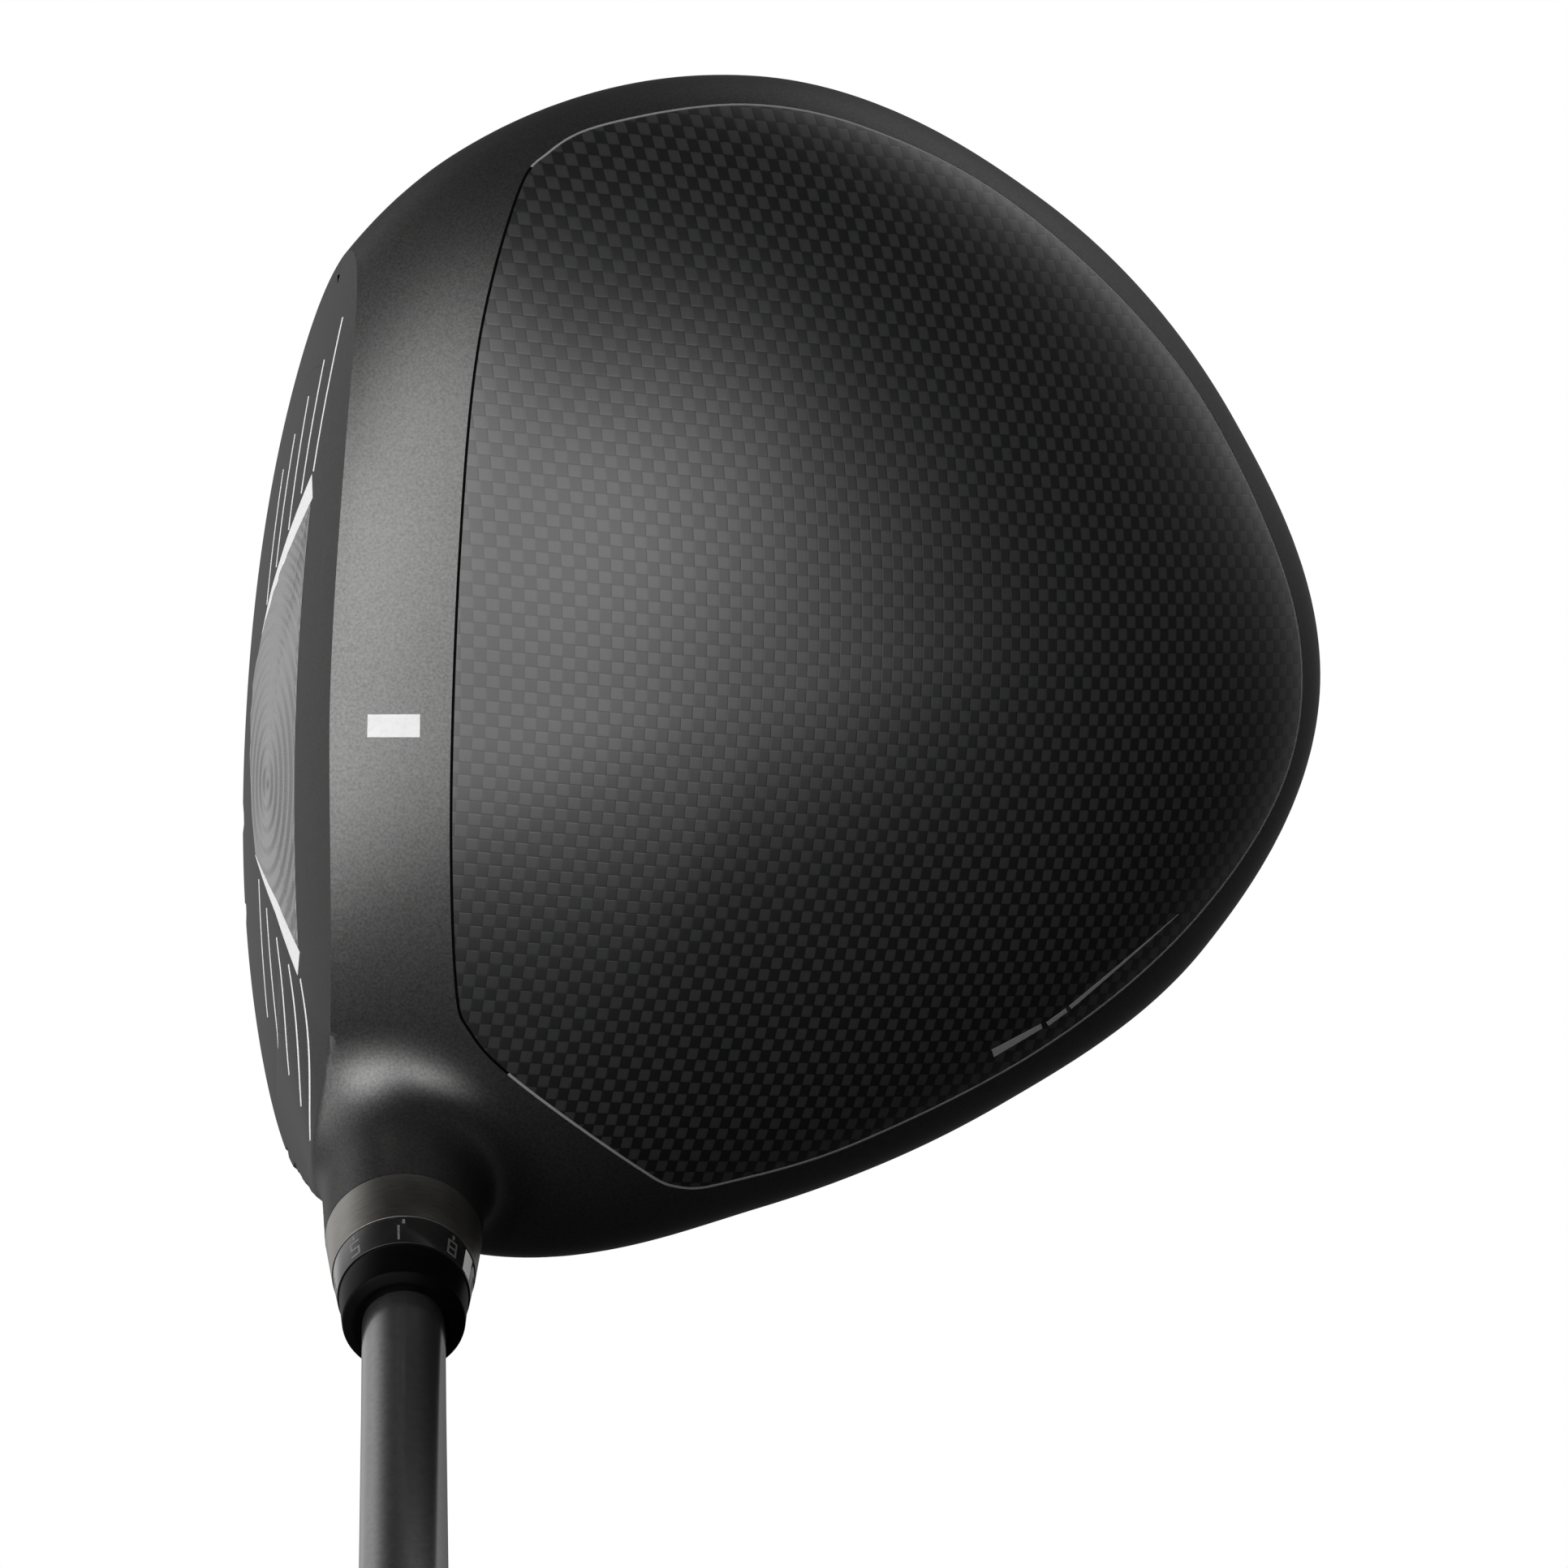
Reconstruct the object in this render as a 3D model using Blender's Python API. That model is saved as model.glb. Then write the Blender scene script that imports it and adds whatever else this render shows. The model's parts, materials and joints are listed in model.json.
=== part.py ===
"""Golf driver: hollow 460 cc titanium head with bonded carbon panels, screw-in weights, and an
adjustable hosel that holds a graphite shaft with a rubber grip.

The frame: +X points from the face to the back of the head, +Y from the heel to the toe, +Z up.
The origin is on the ground under the flat that the sole rests on. Dimensions here are in
millimetres, and every mesh is scaled to metres when its object is made.
"""

import math

import bmesh
import bpy
import numpy as np
from mathutils import Matrix, Vector

MM = 0.001
GAP = 0.3

# Head outline seen from above: radius about the centre, one every 30 degrees from +X towards +Y.
HEAD_CENTRE = (24.0, 4.0)
PLAN_RADII = (61.8, 60.2, 62.1, 66.9, 66.9, 63.3, 64.4, 73.9, 69.4, 56.2, 52.3, 56.4)
RIM_HEIGHT = 29.0
RIM_FALL = 0.08
CROWN_RISE = 30.5
SOLE_RISE = 0.0018
SOLE_RISE_START = 10.0
REST_FLAT = 1.0
# Fullness of the two halves of the head: exponents of the plan, of the height, and of their sum.
CROWN_FULLNESS = (2.2, 2.0, 2.1)
SOLE_FULLNESS = (2.9, 2.3, 2.4)
# Length that turns the halves' shape into a distance, and the widths of the blends between parts.
HULL_SCALE = 38.0
FACE_BLEND = 3.0
NECK_BLEND = 7.0

# Face: its point nearest the front, its bulge radius, and the insert in (y, z)
LOFT = math.radians(12.0)
FACE_X = -29.2
FACE_Y = -8.6
FACE_Z = 30.0
FACE_RADIUS = 242.0
FACE_MIDDLE = (3.0, 33.0)
FACE_HALF_WIDTH = 36.0
FACE_HALF_HEIGHT = 15.5
FACE_TOE_RISE = 0.04
FACE_CORNERS = (0.8, 0.85)
INSERT_BACK = -19.0

# Hosel: its axis passes through this point, where the marked collar of the sleeve starts.
LIE = math.radians(58.5)
HOSEL_POINT = (-14.7, -57.1, 65.0)
HOSEL_TOP = -6.8
NECK_RADIUS = 8.24
NECK_TAPER = 0.045

# Shell
WALL = 1.8
PANEL = 0.7
LEDGE_DEPTH = 1.1
LEDGE_WIDTH = 4.0
FACE_THICKNESS = 2.7
BOSS_WALL = 2.2
BOSS_DEPTH = 0.35
VOXEL = 4.0
KEPT_FACES = 0.36
# Heights between which the panels' outlines are cut through the crown and through the sole
CROWN_CUT = (28.0, 90.0)
SOLE_CUT = (-6.0, 20.0)

# Adjustable joint, distances along the hosel axis from HOSEL_POINT
SLEEVE_RADIUS = 5.6
BEARING_RADIUS = 6.4
TOOTH_COUNT = 24
TOOTH_ROOT = 5.7
TEETH_BOTTOM = -12.5
SLEEVE_BOTTOM = -38.0
SHELF_TOP = -40.0
SHELF_BOTTOM = -43.0
COLLAR_HEIGHT = 3.8
COLLAR_RADIUS = 7.38
BUSH_RADIUS = 7.1
ACCESS_RADIUS = 4.75
RETAINER_Z = -60.2
SCREW_RADIUS = 2.35
SCREW_HEAD_RADIUS = 4.3

# Shaft and grip, distances along the shaft axis from HOSEL_POINT
SHAFT_CANT = math.radians(1.0)
CANT_PIVOT = -10.0
SHAFT_TIP = -22.5
SHAFT_TIP_RADIUS = 4.3
SHAFT_BUTT_RADIUS = 7.6
SHAFT_WALL = 1.2
TIP_PARALLEL = 25.0
SHAFT_BUTT = 1071.0
FERRULE_TOP = 9.4
FERRULE_RADIUS = 6.7
GRIP_MOUTH = 803.0
GRIP_MOUTH_RADIUS = 9.6
GRIP_BUTT_RADIUS = 13.3
CAP_TOP = 1078.0

# Weights: (name, point on the sole in x and y, head radius, head height, stem radius, stem length)
REAR_WEIGHT = ("rear_weight", 63.0, 2.0, 8.5, 6.0, 4.5, 7.0)
FRONT_WEIGHT = ("front_weight", -8.5, 11.0, 6.5, 5.0, 3.5, 6.0)
WEIGHT_SINK = 0.6
SEAT_DEPTH = 2.2
SEAT_PLAY = 0.4
SOCKET_RADIUS = 2.9
SOCKET_DEPTH = 3.6

# Crown seam seen from above, counter-clockwise
CROWN_SEAM = (
    (82.8, 7.0), (79.0, 21.5), (69.0, 39.6), (52.0, 56.0), (36.0, 64.3), (22.0, 67.0),
    (7.0, 64.7), (0.6, 61.4), (-2.8, 56.5), (-7.0, 40.0), (-9.0, 18.0), (-9.9, -8.0),
    (-9.4, -27.0), (-7.8, -32.3), (-3.0, -37.4), (9.5, -46.6), (14.6, -49.3), (20.5, -48.8),
    (34.0, -44.8), (54.0, -34.8), (70.0, -21.8), (80.4, -7.0),
)
# Sole panels seen from above, counter-clockwise
TOE_PANEL = ((4.0, 16.0), (30.0, 15.0), (55.0, 17.0), (60.0, 27.0), (50.0, 42.0), (32.0, 49.0),
             (10.0, 48.0), (-2.0, 37.0), (-3.0, 24.0))
HEEL_PANEL = ((56.0, -17.0), (30.0, -15.5), (9.0, -16.5), (4.0, -26.0), (8.0, -36.0),
              (22.0, -39.0), (40.0, -35.0), (53.0, -28.0))


# ---------------------------------------------------------------- scene and mesh helpers

def clear_scene():
    for obj in list(bpy.data.objects):
        bpy.data.objects.remove(obj, do_unlink=True)


def make_material(name, colour, metallic, roughness):
    material = bpy.data.materials.new(name)
    material.use_nodes = True
    shader = material.node_tree.nodes["Principled BSDF"]
    shader.inputs["Base Color"].default_value = (*colour, 1.0)
    shader.inputs["Metallic"].default_value = metallic
    shader.inputs["Roughness"].default_value = roughness
    return material


def add_object(name, bm, frame=None):
    """Makes an object from a bmesh in millimetres, placed by its frame (also in millimetres)."""
    bmesh.ops.scale(bm, vec=(MM, MM, MM), verts=bm.verts)
    mesh = bpy.data.meshes.new(name)
    bm.to_mesh(mesh)
    bm.free()
    obj = bpy.data.objects.new(name, mesh)
    bpy.context.scene.collection.objects.link(obj)
    if frame is not None:
        place = frame.copy()
        place.translation *= MM
        obj.matrix_world = place
    bpy.context.view_layer.update()
    return obj


def baked_mesh(obj):
    """The object's mesh with its modifiers applied."""
    graph = bpy.context.evaluated_depsgraph_get()
    return bpy.data.meshes.new_from_object(obj.evaluated_get(graph))


def combine(obj, tool, operation, keep_tool=False):
    """Applies a Boolean of two closed objects, and removes the tool."""
    modifier = obj.modifiers.new(operation.lower(), "BOOLEAN")
    modifier.operation = operation
    modifier.solver = "MANIFOLD"
    modifier.object = tool
    bpy.context.view_layer.update()
    mesh = baked_mesh(obj)
    obj.modifiers.clear()
    obj.data = mesh
    if not keep_tool:
        bpy.data.objects.remove(tool, do_unlink=True)
    bpy.context.view_layer.update()
    return obj


def copy_of(obj, name):
    twin = obj.copy()
    twin.data = obj.data.copy()
    twin.name = name
    bpy.context.scene.collection.objects.link(twin)
    bpy.context.view_layer.update()
    return twin


def finish(obj, name, material, sharp_angle=35.0):
    """Names the object, gives it its material, and merges slivers left by the Booleans."""
    bm = bmesh.new()
    bm.from_mesh(obj.data)
    bmesh.ops.remove_doubles(bm, verts=bm.verts, dist=0.002 * MM)
    bmesh.ops.dissolve_degenerate(bm, edges=bm.edges, dist=0.001 * MM)
    bmesh.ops.triangulate(bm, faces=bm.faces)
    bm.to_mesh(obj.data)
    bm.free()
    obj.name = name
    obj.data.name = name
    obj.data.materials.clear()
    obj.data.materials.append(material)
    obj.data.shade_smooth()
    obj.data.set_sharp_from_angle(angle=math.radians(sharp_angle))
    return obj


# ---------------------------------------------------------------- axes and turned solids

def axis_frame(point, direction):
    """A frame whose Z runs along the direction, and whose Y leans to the world's +X."""
    z = Vector(direction).normalized()
    x = z.cross(Vector((1.0, 0.0, 0.0))).normalized()
    y = z.cross(x)
    frame = Matrix((x, y, z)).transposed().to_4x4()
    frame.translation = Vector(point)
    return frame


HOSEL_UP = Vector((0.0, -math.cos(LIE), math.sin(LIE)))
SHAFT_UP = Vector((0.0, -math.cos(LIE + SHAFT_CANT), math.sin(LIE + SHAFT_CANT)))
HOSEL_FRAME = axis_frame(HOSEL_POINT, HOSEL_UP)
PIVOT = Vector(HOSEL_POINT) + HOSEL_UP * CANT_PIVOT
SHAFT_FRAME = axis_frame(PIVOT - SHAFT_UP * CANT_PIVOT, SHAFT_UP)


def turned(name, profile, frame, steps=32):
    """A solid of revolution about the frame's Z, from a closed outline of (radius, height)."""
    bm = bmesh.new()
    points = [bm.verts.new((radius, 0.0, height)) for radius, height in profile]
    edges = []
    for index, point in enumerate(points):
        follower = points[(index + 1) % len(points)]
        on_axis = point.co.x == 0.0 and follower.co.x == 0.0
        if not on_axis:
            edges.append(bm.edges.new((point, follower)))
    bmesh.ops.spin(bm, geom=points + edges, cent=(0, 0, 0), axis=(0, 0, 1), dvec=(0, 0, 0),
                   angle=2 * math.pi, steps=steps, use_merge=True, use_duplicate=False)
    bmesh.ops.remove_doubles(bm, verts=bm.verts, dist=0.001)
    bmesh.ops.recalc_face_normals(bm, faces=bm.faces)
    return add_object(name, bm, frame)


def cylinder(name, radius, bottom, top, frame, steps=32):
    return turned(name, ((0.0, top), (radius, top), (radius, bottom), (0.0, bottom)), frame, steps)


def prism(name, points, bottom, top, frame=None):
    """A prism over a closed outline of (x, y) points."""
    bm = bmesh.new()
    face = bm.faces.new([bm.verts.new((x, y, bottom)) for x, y in points])
    grown = bmesh.ops.extrude_face_region(bm, geom=[face])["geom"]
    lifted = [item for item in grown if isinstance(item, bmesh.types.BMVert)]
    bmesh.ops.translate(bm, vec=(0, 0, top - bottom), verts=lifted)
    bmesh.ops.recalc_face_normals(bm, faces=bm.faces)
    return add_object(name, bm, frame)


def toothed(root, tip, count, fill):
    """Outline of a spline: tip-radius teeth, each filling that share of its pitch."""
    pitch = 2 * math.pi / count
    points = []
    for index in range(count):
        middle = index * pitch
        for radius, side in ((root, -0.62), (tip, -0.5), (tip, 0.5), (root, 0.62)):
            angle = middle + side * fill * pitch
            points.append((radius * math.cos(angle), radius * math.sin(angle)))
    return points


def lobed(radius, depth, lobes, steps=36):
    """Outline of a star-drive socket."""
    points = []
    for index in range(steps):
        angle = 2 * math.pi * index / steps
        reach = radius * (1.0 - depth * (0.5 - 0.5 * math.cos(lobes * angle)))
        points.append((reach * math.cos(angle), reach * math.sin(angle)))
    return points


# Outlines on the face are drawn in (y, z) and extruded along +X.
FACE_VIEW = Matrix(((0, 0, 1, 0), (1, 0, 0, 0), (0, 1, 0, 0), (0, 0, 0, 1)))


# ---------------------------------------------------------------- outlines on the head

def smooth_loop(points, per_span=3):
    """A closed Catmull-Rom curve through the points."""
    count = len(points)
    result = []
    for index in range(count):
        p0, p1, p2, p3 = (np.array(points[(index + k) % count]) for k in (-1, 0, 1, 2))
        for step in range(per_span):
            t = step / per_span
            result.append(tuple(0.5 * (2 * p1 + (p2 - p0) * t + (2 * p0 - 5 * p1 + 4 * p2 - p3) * t**2
                                       + (3 * p1 - p0 - 3 * p2 + p3) * t**3)))
    return result


def inset_loop(points, distance):
    """Moves each point of a counter-clockwise outline inwards by the distance."""
    count = len(points)
    result = []
    for index in range(count):
        before, here = Vector(points[index - 1]), Vector(points[index])
        after = Vector(points[(index + 1) % count])
        normal = Vector(((after - before).y, -(after - before).x)).normalized()
        result.append(tuple(here - normal * distance))
    return result


def face_outline(grow, steps=56):
    """Outline of the face insert, seen along the face's normal: (y, z) about the face's middle."""
    points = []
    for index in range(steps):
        angle = 2 * math.pi * index / steps
        c, s = math.cos(angle), math.sin(angle)
        y = math.copysign(abs(c) ** FACE_CORNERS[0], c) * FACE_HALF_WIDTH
        z = math.copysign(abs(s) ** FACE_CORNERS[1], s) * (FACE_HALF_HEIGHT + FACE_TOE_RISE * y)
        reach = 1.0 + grow / math.hypot(y, z)
        points.append((y * reach + FACE_MIDDLE[0], z * reach + FACE_MIDDLE[1]))
    return points


# ---------------------------------------------------------------- the head's surface

def plan_radius(angle):
    """Head outline radius at an angle, smooth through PLAN_RADII."""
    radii = np.array(PLAN_RADII)
    count = len(radii)
    turn = (angle % (2 * np.pi)) / (2 * np.pi) * count
    first = np.floor(turn).astype(int) % count
    t = turn - np.floor(turn)
    p0, p1 = radii[first - 1], radii[first]
    p2, p3 = radii[(first + 1) % count], radii[(first + 2) % count]
    return 0.5 * (2 * p1 + (p2 - p0) * t + (2 * p0 - 5 * p1 + 4 * p2 - p3) * t**2
                  + (3 * p1 - p0 - 3 * p2 + p3) * t**3)


def blend_min(a, b, width):
    """The smaller of two values, with the corner between them rounded over that width."""
    share = np.clip(0.5 + 0.5 * (b - a) / width, 0.0, 1.0)
    return b * (1 - share) + a * share - width * share * (1 - share)


def full_sum(across, up, fullness):
    """How far out a point lies, as a share of the way to the surface."""
    plan, height, both = fullness
    return (across**plan + up**height) ** (1 / both)


def head_value(points):
    """Negative inside the head, positive outside; its zero is the outer surface."""
    x, y, z = points.T
    dx, dy = x - HEAD_CENTRE[0], y - HEAD_CENTRE[1]
    reach = np.maximum(np.hypot(dx, dy) / plan_radius(np.arctan2(dy, dx)), 1e-6)
    rim = RIM_HEIGHT - RIM_FALL * dx
    floor = SOLE_RISE * np.maximum(x - SOLE_RISE_START, 0.0) ** 2 - REST_FLAT
    above = np.maximum(z - rim, 0.0) / CROWN_RISE
    below = np.maximum(rim - z, 0.0) / np.maximum(rim - floor, 1.0)
    crown = full_sum(reach, above, CROWN_FULLNESS)
    sole = full_sum(reach, below, SOLE_FULLNESS)
    hull = (np.where(z > rim, crown, sole) - 1.0) * HULL_SCALE
    dy, dz = y - FACE_Y, z - FACE_Z
    face_x = FACE_X + dz * math.tan(LOFT) + (dy**2 + dz**2) / (2 * FACE_RADIUS)
    body = -blend_min(-hull, x - face_x, FACE_BLEND)
    offset = points - np.array(HOSEL_POINT)
    along = offset @ np.array(HOSEL_UP)
    across = np.linalg.norm(offset - along[:, None] * np.array(HOSEL_UP), axis=1)
    neck = across - (NECK_RADIUS - NECK_TAPER * (along - HOSEL_TOP))
    neck = np.where(along < SLEEVE_BOTTOM, np.maximum(neck, SLEEVE_BOTTOM - along), neck)
    return blend_min(body, neck, NECK_BLEND)


def head_gradient(points, step=0.05):
    """Slope of head_value along x, y and z."""
    columns = []
    for axis in range(3):
        shift = np.zeros(3)
        shift[axis] = step
        columns.append((head_value(points + shift) - head_value(points - shift)) / (2 * step))
    return np.stack(columns, axis=1)


def pull_to_surface(points, depth):
    """Moves points along the gradient until they lie that deep under the outer surface."""
    points = points.copy()
    for _ in range(14):
        slope = head_gradient(points)
        length = np.maximum(np.linalg.norm(slope, axis=1), 1e-6)
        error = head_value(points) / length + depth
        points -= np.clip(error, -3.0, 3.0)[:, None] * slope / length[:, None]
    return points


def place_on_surface(mesh, depth):
    """Moves every point of a mesh (in metres) to that depth under the outer surface."""
    points = np.empty(len(mesh.vertices) * 3)
    mesh.vertices.foreach_get("co", points)
    points = pull_to_surface(points.reshape(-1, 3) / MM, depth)
    mesh.vertices.foreach_set("co", (points * MM).ravel())
    mesh.update()


def remeshed(obj):
    """The object's mesh rebuilt with even square faces."""
    remesh = obj.modifiers.new("remesh", "REMESH")
    remesh.mode = "VOXEL"
    remesh.voxel_size = VOXEL * MM
    mesh = baked_mesh(obj)
    obj.modifiers.clear()
    return mesh


def rough_head():
    """A closed mesh near the head's surface, of even square faces: a blob and the neck, remeshed."""
    bm = bmesh.new()
    bmesh.ops.create_icosphere(bm, subdivisions=5, radius=1.0)
    directions = np.array([vertex.co.normalized() for vertex in bm.verts])
    middle = np.array((HEAD_CENTRE[0], HEAD_CENTRE[1], 28.0))
    near, far = np.full(len(directions), 5.0), np.full(len(directions), 95.0)
    for _ in range(24):
        half = (near + far) / 2
        inside = head_value(middle + directions * half[:, None]) < 0
        near, far = np.where(inside, half, near), np.where(inside, far, half)
    for vertex, reach, direction in zip(bm.verts, near, directions):
        vertex.co = middle + direction * min(reach, 80.0)
    blob = add_object("blob", bm)
    neck = cylinder("neck", NECK_RADIUS + 0.6, -30.0, HOSEL_TOP + 6.0, HOSEL_FRAME)
    combine(blob, neck, "UNION")
    blob.data = remeshed(blob)
    return blob


def head_solid(rough, depth, name):
    """The head as one closed solid whose surface lies that deep under the outer one."""
    solid = copy_of(rough, name)
    place_on_surface(solid.data, depth)
    solid.data = remeshed(solid)
    place_on_surface(solid.data, depth)
    thin = solid.modifiers.new("thin", "DECIMATE")
    thin.ratio = KEPT_FACES
    solid.data = baked_mesh(solid)
    solid.modifiers.clear()
    place_on_surface(solid.data, depth)
    return solid


def sole_frame(x, y):
    """Frame on the sole under (x, y): Z points out of the head along the surface's normal."""
    low, high = 25.0, -10.0
    for _ in range(40):
        half = (low + high) / 2
        inside = head_value(np.array([[x, y, half]]))[0] < 0
        low, high = (half, high) if inside else (low, half)
    point = np.array([[x, y, low]])
    normal = head_gradient(point)[0]
    normal[1] = 0.0
    return axis_frame((x, y, low), normal)


# ---------------------------------------------------------------- head parts

def panel(solids, name, outline, bottom, top, material):
    """A bonded skin: the outer layer of the head inside an outline, clear of its ledge."""
    skin = prism(name, smooth_loop(inset_loop(outline, GAP)), bottom, top)
    combine(skin, solids["outer"], "INTERSECT", keep_tool=True)
    combine(skin, solids["panel"], "DIFFERENCE", keep_tool=True)
    return finish(skin, name, material)


def cut_panel_seat(body, solids, outline, bottom, top):
    """Cuts the recess that a panel lies in, and the opening inside its ledge."""
    recess = prism("recess", smooth_loop(outline), bottom, top)
    combine(recess, solids["ledge"], "DIFFERENCE", keep_tool=True)
    combine(body, recess, "DIFFERENCE")
    combine(body, prism("opening", smooth_loop(inset_loop(outline, LEDGE_WIDTH)), bottom, top),
            "DIFFERENCE")


def weight_boss(body, solids, weight):
    """Adds the boss that a weight screws into, inside the sole."""
    _, x, y, head_radius, head_height, _, stem_length = weight
    bottom = -head_height - SEAT_DEPTH - stem_length + 1.0
    boss = cylinder("boss", head_radius + BOSS_WALL, bottom, 6.0, sole_frame(x, y))
    combine(boss, solids["boss"], "INTERSECT", keep_tool=True)
    combine(body, boss, "UNION")


def cut_weight_seat(body, weight):
    """Cuts the recess for a weight's head and its threaded hole."""
    _, x, y, head_radius, head_height, stem_radius, _ = weight
    frame = sole_frame(x, y)
    floor = -head_height - SEAT_DEPTH
    combine(body, cylinder("recess", head_radius + SEAT_PLAY, floor, 12.0, frame), "DIFFERENCE")
    combine(body, cylinder("thread", stem_radius + GAP, floor - 12.0, 1.0, frame), "DIFFERENCE")


def make_head(materials):
    rough = rough_head()
    solids = {}
    for key, depth in (("outer", 0.0), ("boss", BOSS_DEPTH), ("panel", PANEL), ("ledge", LEDGE_DEPTH),
                       ("inner", WALL), ("face", FACE_THICKNESS)):
        solids[key] = head_solid(rough, depth, "solid_" + key)
    bpy.data.objects.remove(rough, do_unlink=True)
    for key, top in (("outer", 0.0), ("boss", BOSS_DEPTH)):
        ground = prism("ground", ((-60, -90), (110, -90), (110, 90), (-60, 90)), -20.0, top)
        combine(solids[key], ground, "DIFFERENCE")
    block = cylinder("top_cut", 30.0, HOSEL_TOP, 40.0, HOSEL_FRAME)
    combine(solids["outer"], block, "DIFFERENCE")

    body = copy_of(solids["outer"], "head_body")
    combine(body, solids["inner"], "DIFFERENCE", keep_tool=True)
    tube = cylinder("tube", 8.6, -90.0, HOSEL_TOP - 0.4, HOSEL_FRAME)
    combine(tube, solids["boss"], "INTERSECT", keep_tool=True)
    combine(body, tube, "UNION")
    for weight in (FRONT_WEIGHT, REAR_WEIGHT):
        weight_boss(body, solids, weight)
    for weight in (FRONT_WEIGHT, REAR_WEIGHT):
        cut_weight_seat(body, weight)
    bores = (
        (BUSH_RADIUS + 0.2, TEETH_BOTTOM - 0.7, 20.0),
        (SLEEVE_RADIUS + GAP, SHELF_TOP, 20.0),
        (SCREW_RADIUS + 0.45, SHELF_BOTTOM - 5.0, 0.0),
        (ACCESS_RADIUS, -100.0, SHELF_BOTTOM),
        (ACCESS_RADIUS + 0.7, RETAINER_Z - 0.8, RETAINER_Z + 0.8),
    )
    for radius, bottom, top in bores:
        combine(body, cylinder("bore", radius, bottom, top, HOSEL_FRAME), "DIFFERENCE")
    cut_panel_seat(body, solids, CROWN_SEAM, *CROWN_CUT)
    cut_panel_seat(body, solids, TOE_PANEL, *SOLE_CUT)
    cut_panel_seat(body, solids, HEEL_PANEL, *SOLE_CUT)
    window = prism("window", face_outline(GAP), -60.0, INSERT_BACK + 0.5, FACE_VIEW)
    combine(body, window, "DIFFERENCE")
    finish(body, "head_body", materials["painted_titanium"])

    insert = prism("face_insert", face_outline(0.0), -60.0, INSERT_BACK, FACE_VIEW)
    combine(insert, solids["outer"], "INTERSECT", keep_tool=True)
    combine(insert, solids["face"], "DIFFERENCE", keep_tool=True)
    finish(insert, "face_insert", materials["face_titanium"])
    panel(solids, "crown_panel", CROWN_SEAM, *CROWN_CUT, materials["carbon"])
    panel(solids, "sole_panel_toe", TOE_PANEL, *SOLE_CUT, materials["carbon"])
    panel(solids, "sole_panel_heel", HEEL_PANEL, *SOLE_CUT, materials["carbon"])
    for solid in solids.values():
        bpy.data.objects.remove(solid, do_unlink=True)


def make_weight(weight, materials):
    """A screw-in weight with its star socket, and the rubber ring under its head."""
    name, x, y, head_radius, head_height, stem_radius, stem_length = weight
    frame = sole_frame(x, y)
    top = -WEIGHT_SINK
    under = top - head_height
    chamfer, lead = 0.6, 0.8
    profile = ((0.0, top), (head_radius - chamfer, top), (head_radius, top - chamfer),
               (head_radius, under), (stem_radius, under), (stem_radius, under - stem_length + lead),
               (stem_radius - lead, under - stem_length), (0.0, under - stem_length))
    body = turned(name, profile, frame)
    socket = prism("socket", lobed(SOCKET_RADIUS, 0.24, 6), top - SOCKET_DEPTH, top + 2.0, frame)
    combine(body, socket, "DIFFERENCE")
    finish(body, name, materials["steel"])
    ring_top = under - GAP
    ring_bottom = -head_height - SEAT_DEPTH + GAP
    inner, outer = stem_radius + 0.7, head_radius - 0.5
    middle, half = (ring_top + ring_bottom) / 2, (ring_top - ring_bottom) / 2
    profile = ((outer - half, ring_top), (outer, middle), (outer - half, ring_bottom),
               (inner + half, ring_bottom), (inner, middle), (inner + half, ring_top))
    finish(turned(name + "_o_ring", profile, frame, 28), name + "_o_ring", materials["rubber"])


# ---------------------------------------------------------------- adjustable hosel

def make_hosel_ring(materials):
    """Brushed ring that turns on the sleeve, between the neck and the marked collar."""
    inner = BEARING_RADIUS + GAP
    profile = ((inner, -0.25), (COLLAR_RADIUS + 0.1, -0.25), (COLLAR_RADIUS + 0.25, -0.4),
               (NECK_RADIUS - 0.15, HOSEL_TOP + 0.45), (NECK_RADIUS - 0.3, HOSEL_TOP + GAP),
               (inner, HOSEL_TOP + GAP))
    finish(turned("hosel_ring", profile, HOSEL_FRAME, 48), "hosel_ring", materials["brushed"])


def make_bush(materials):
    """Bush pressed into the neck, with a notch for each tooth of the sleeve."""
    bush = cylinder("hosel_bush", BUSH_RADIUS, TEETH_BOTTOM - 0.4, HOSEL_TOP - GAP, HOSEL_FRAME, 48)
    notches = prism("notches", toothed(TOOTH_ROOT + GAP, BEARING_RADIUS + GAP, TOOTH_COUNT, 0.52),
                         TEETH_BOTTOM - 5.0, HOSEL_TOP + 5.0, HOSEL_FRAME)
    combine(bush, notches, "DIFFERENCE")
    finish(bush, "hosel_bush", materials["steel"])


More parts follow.
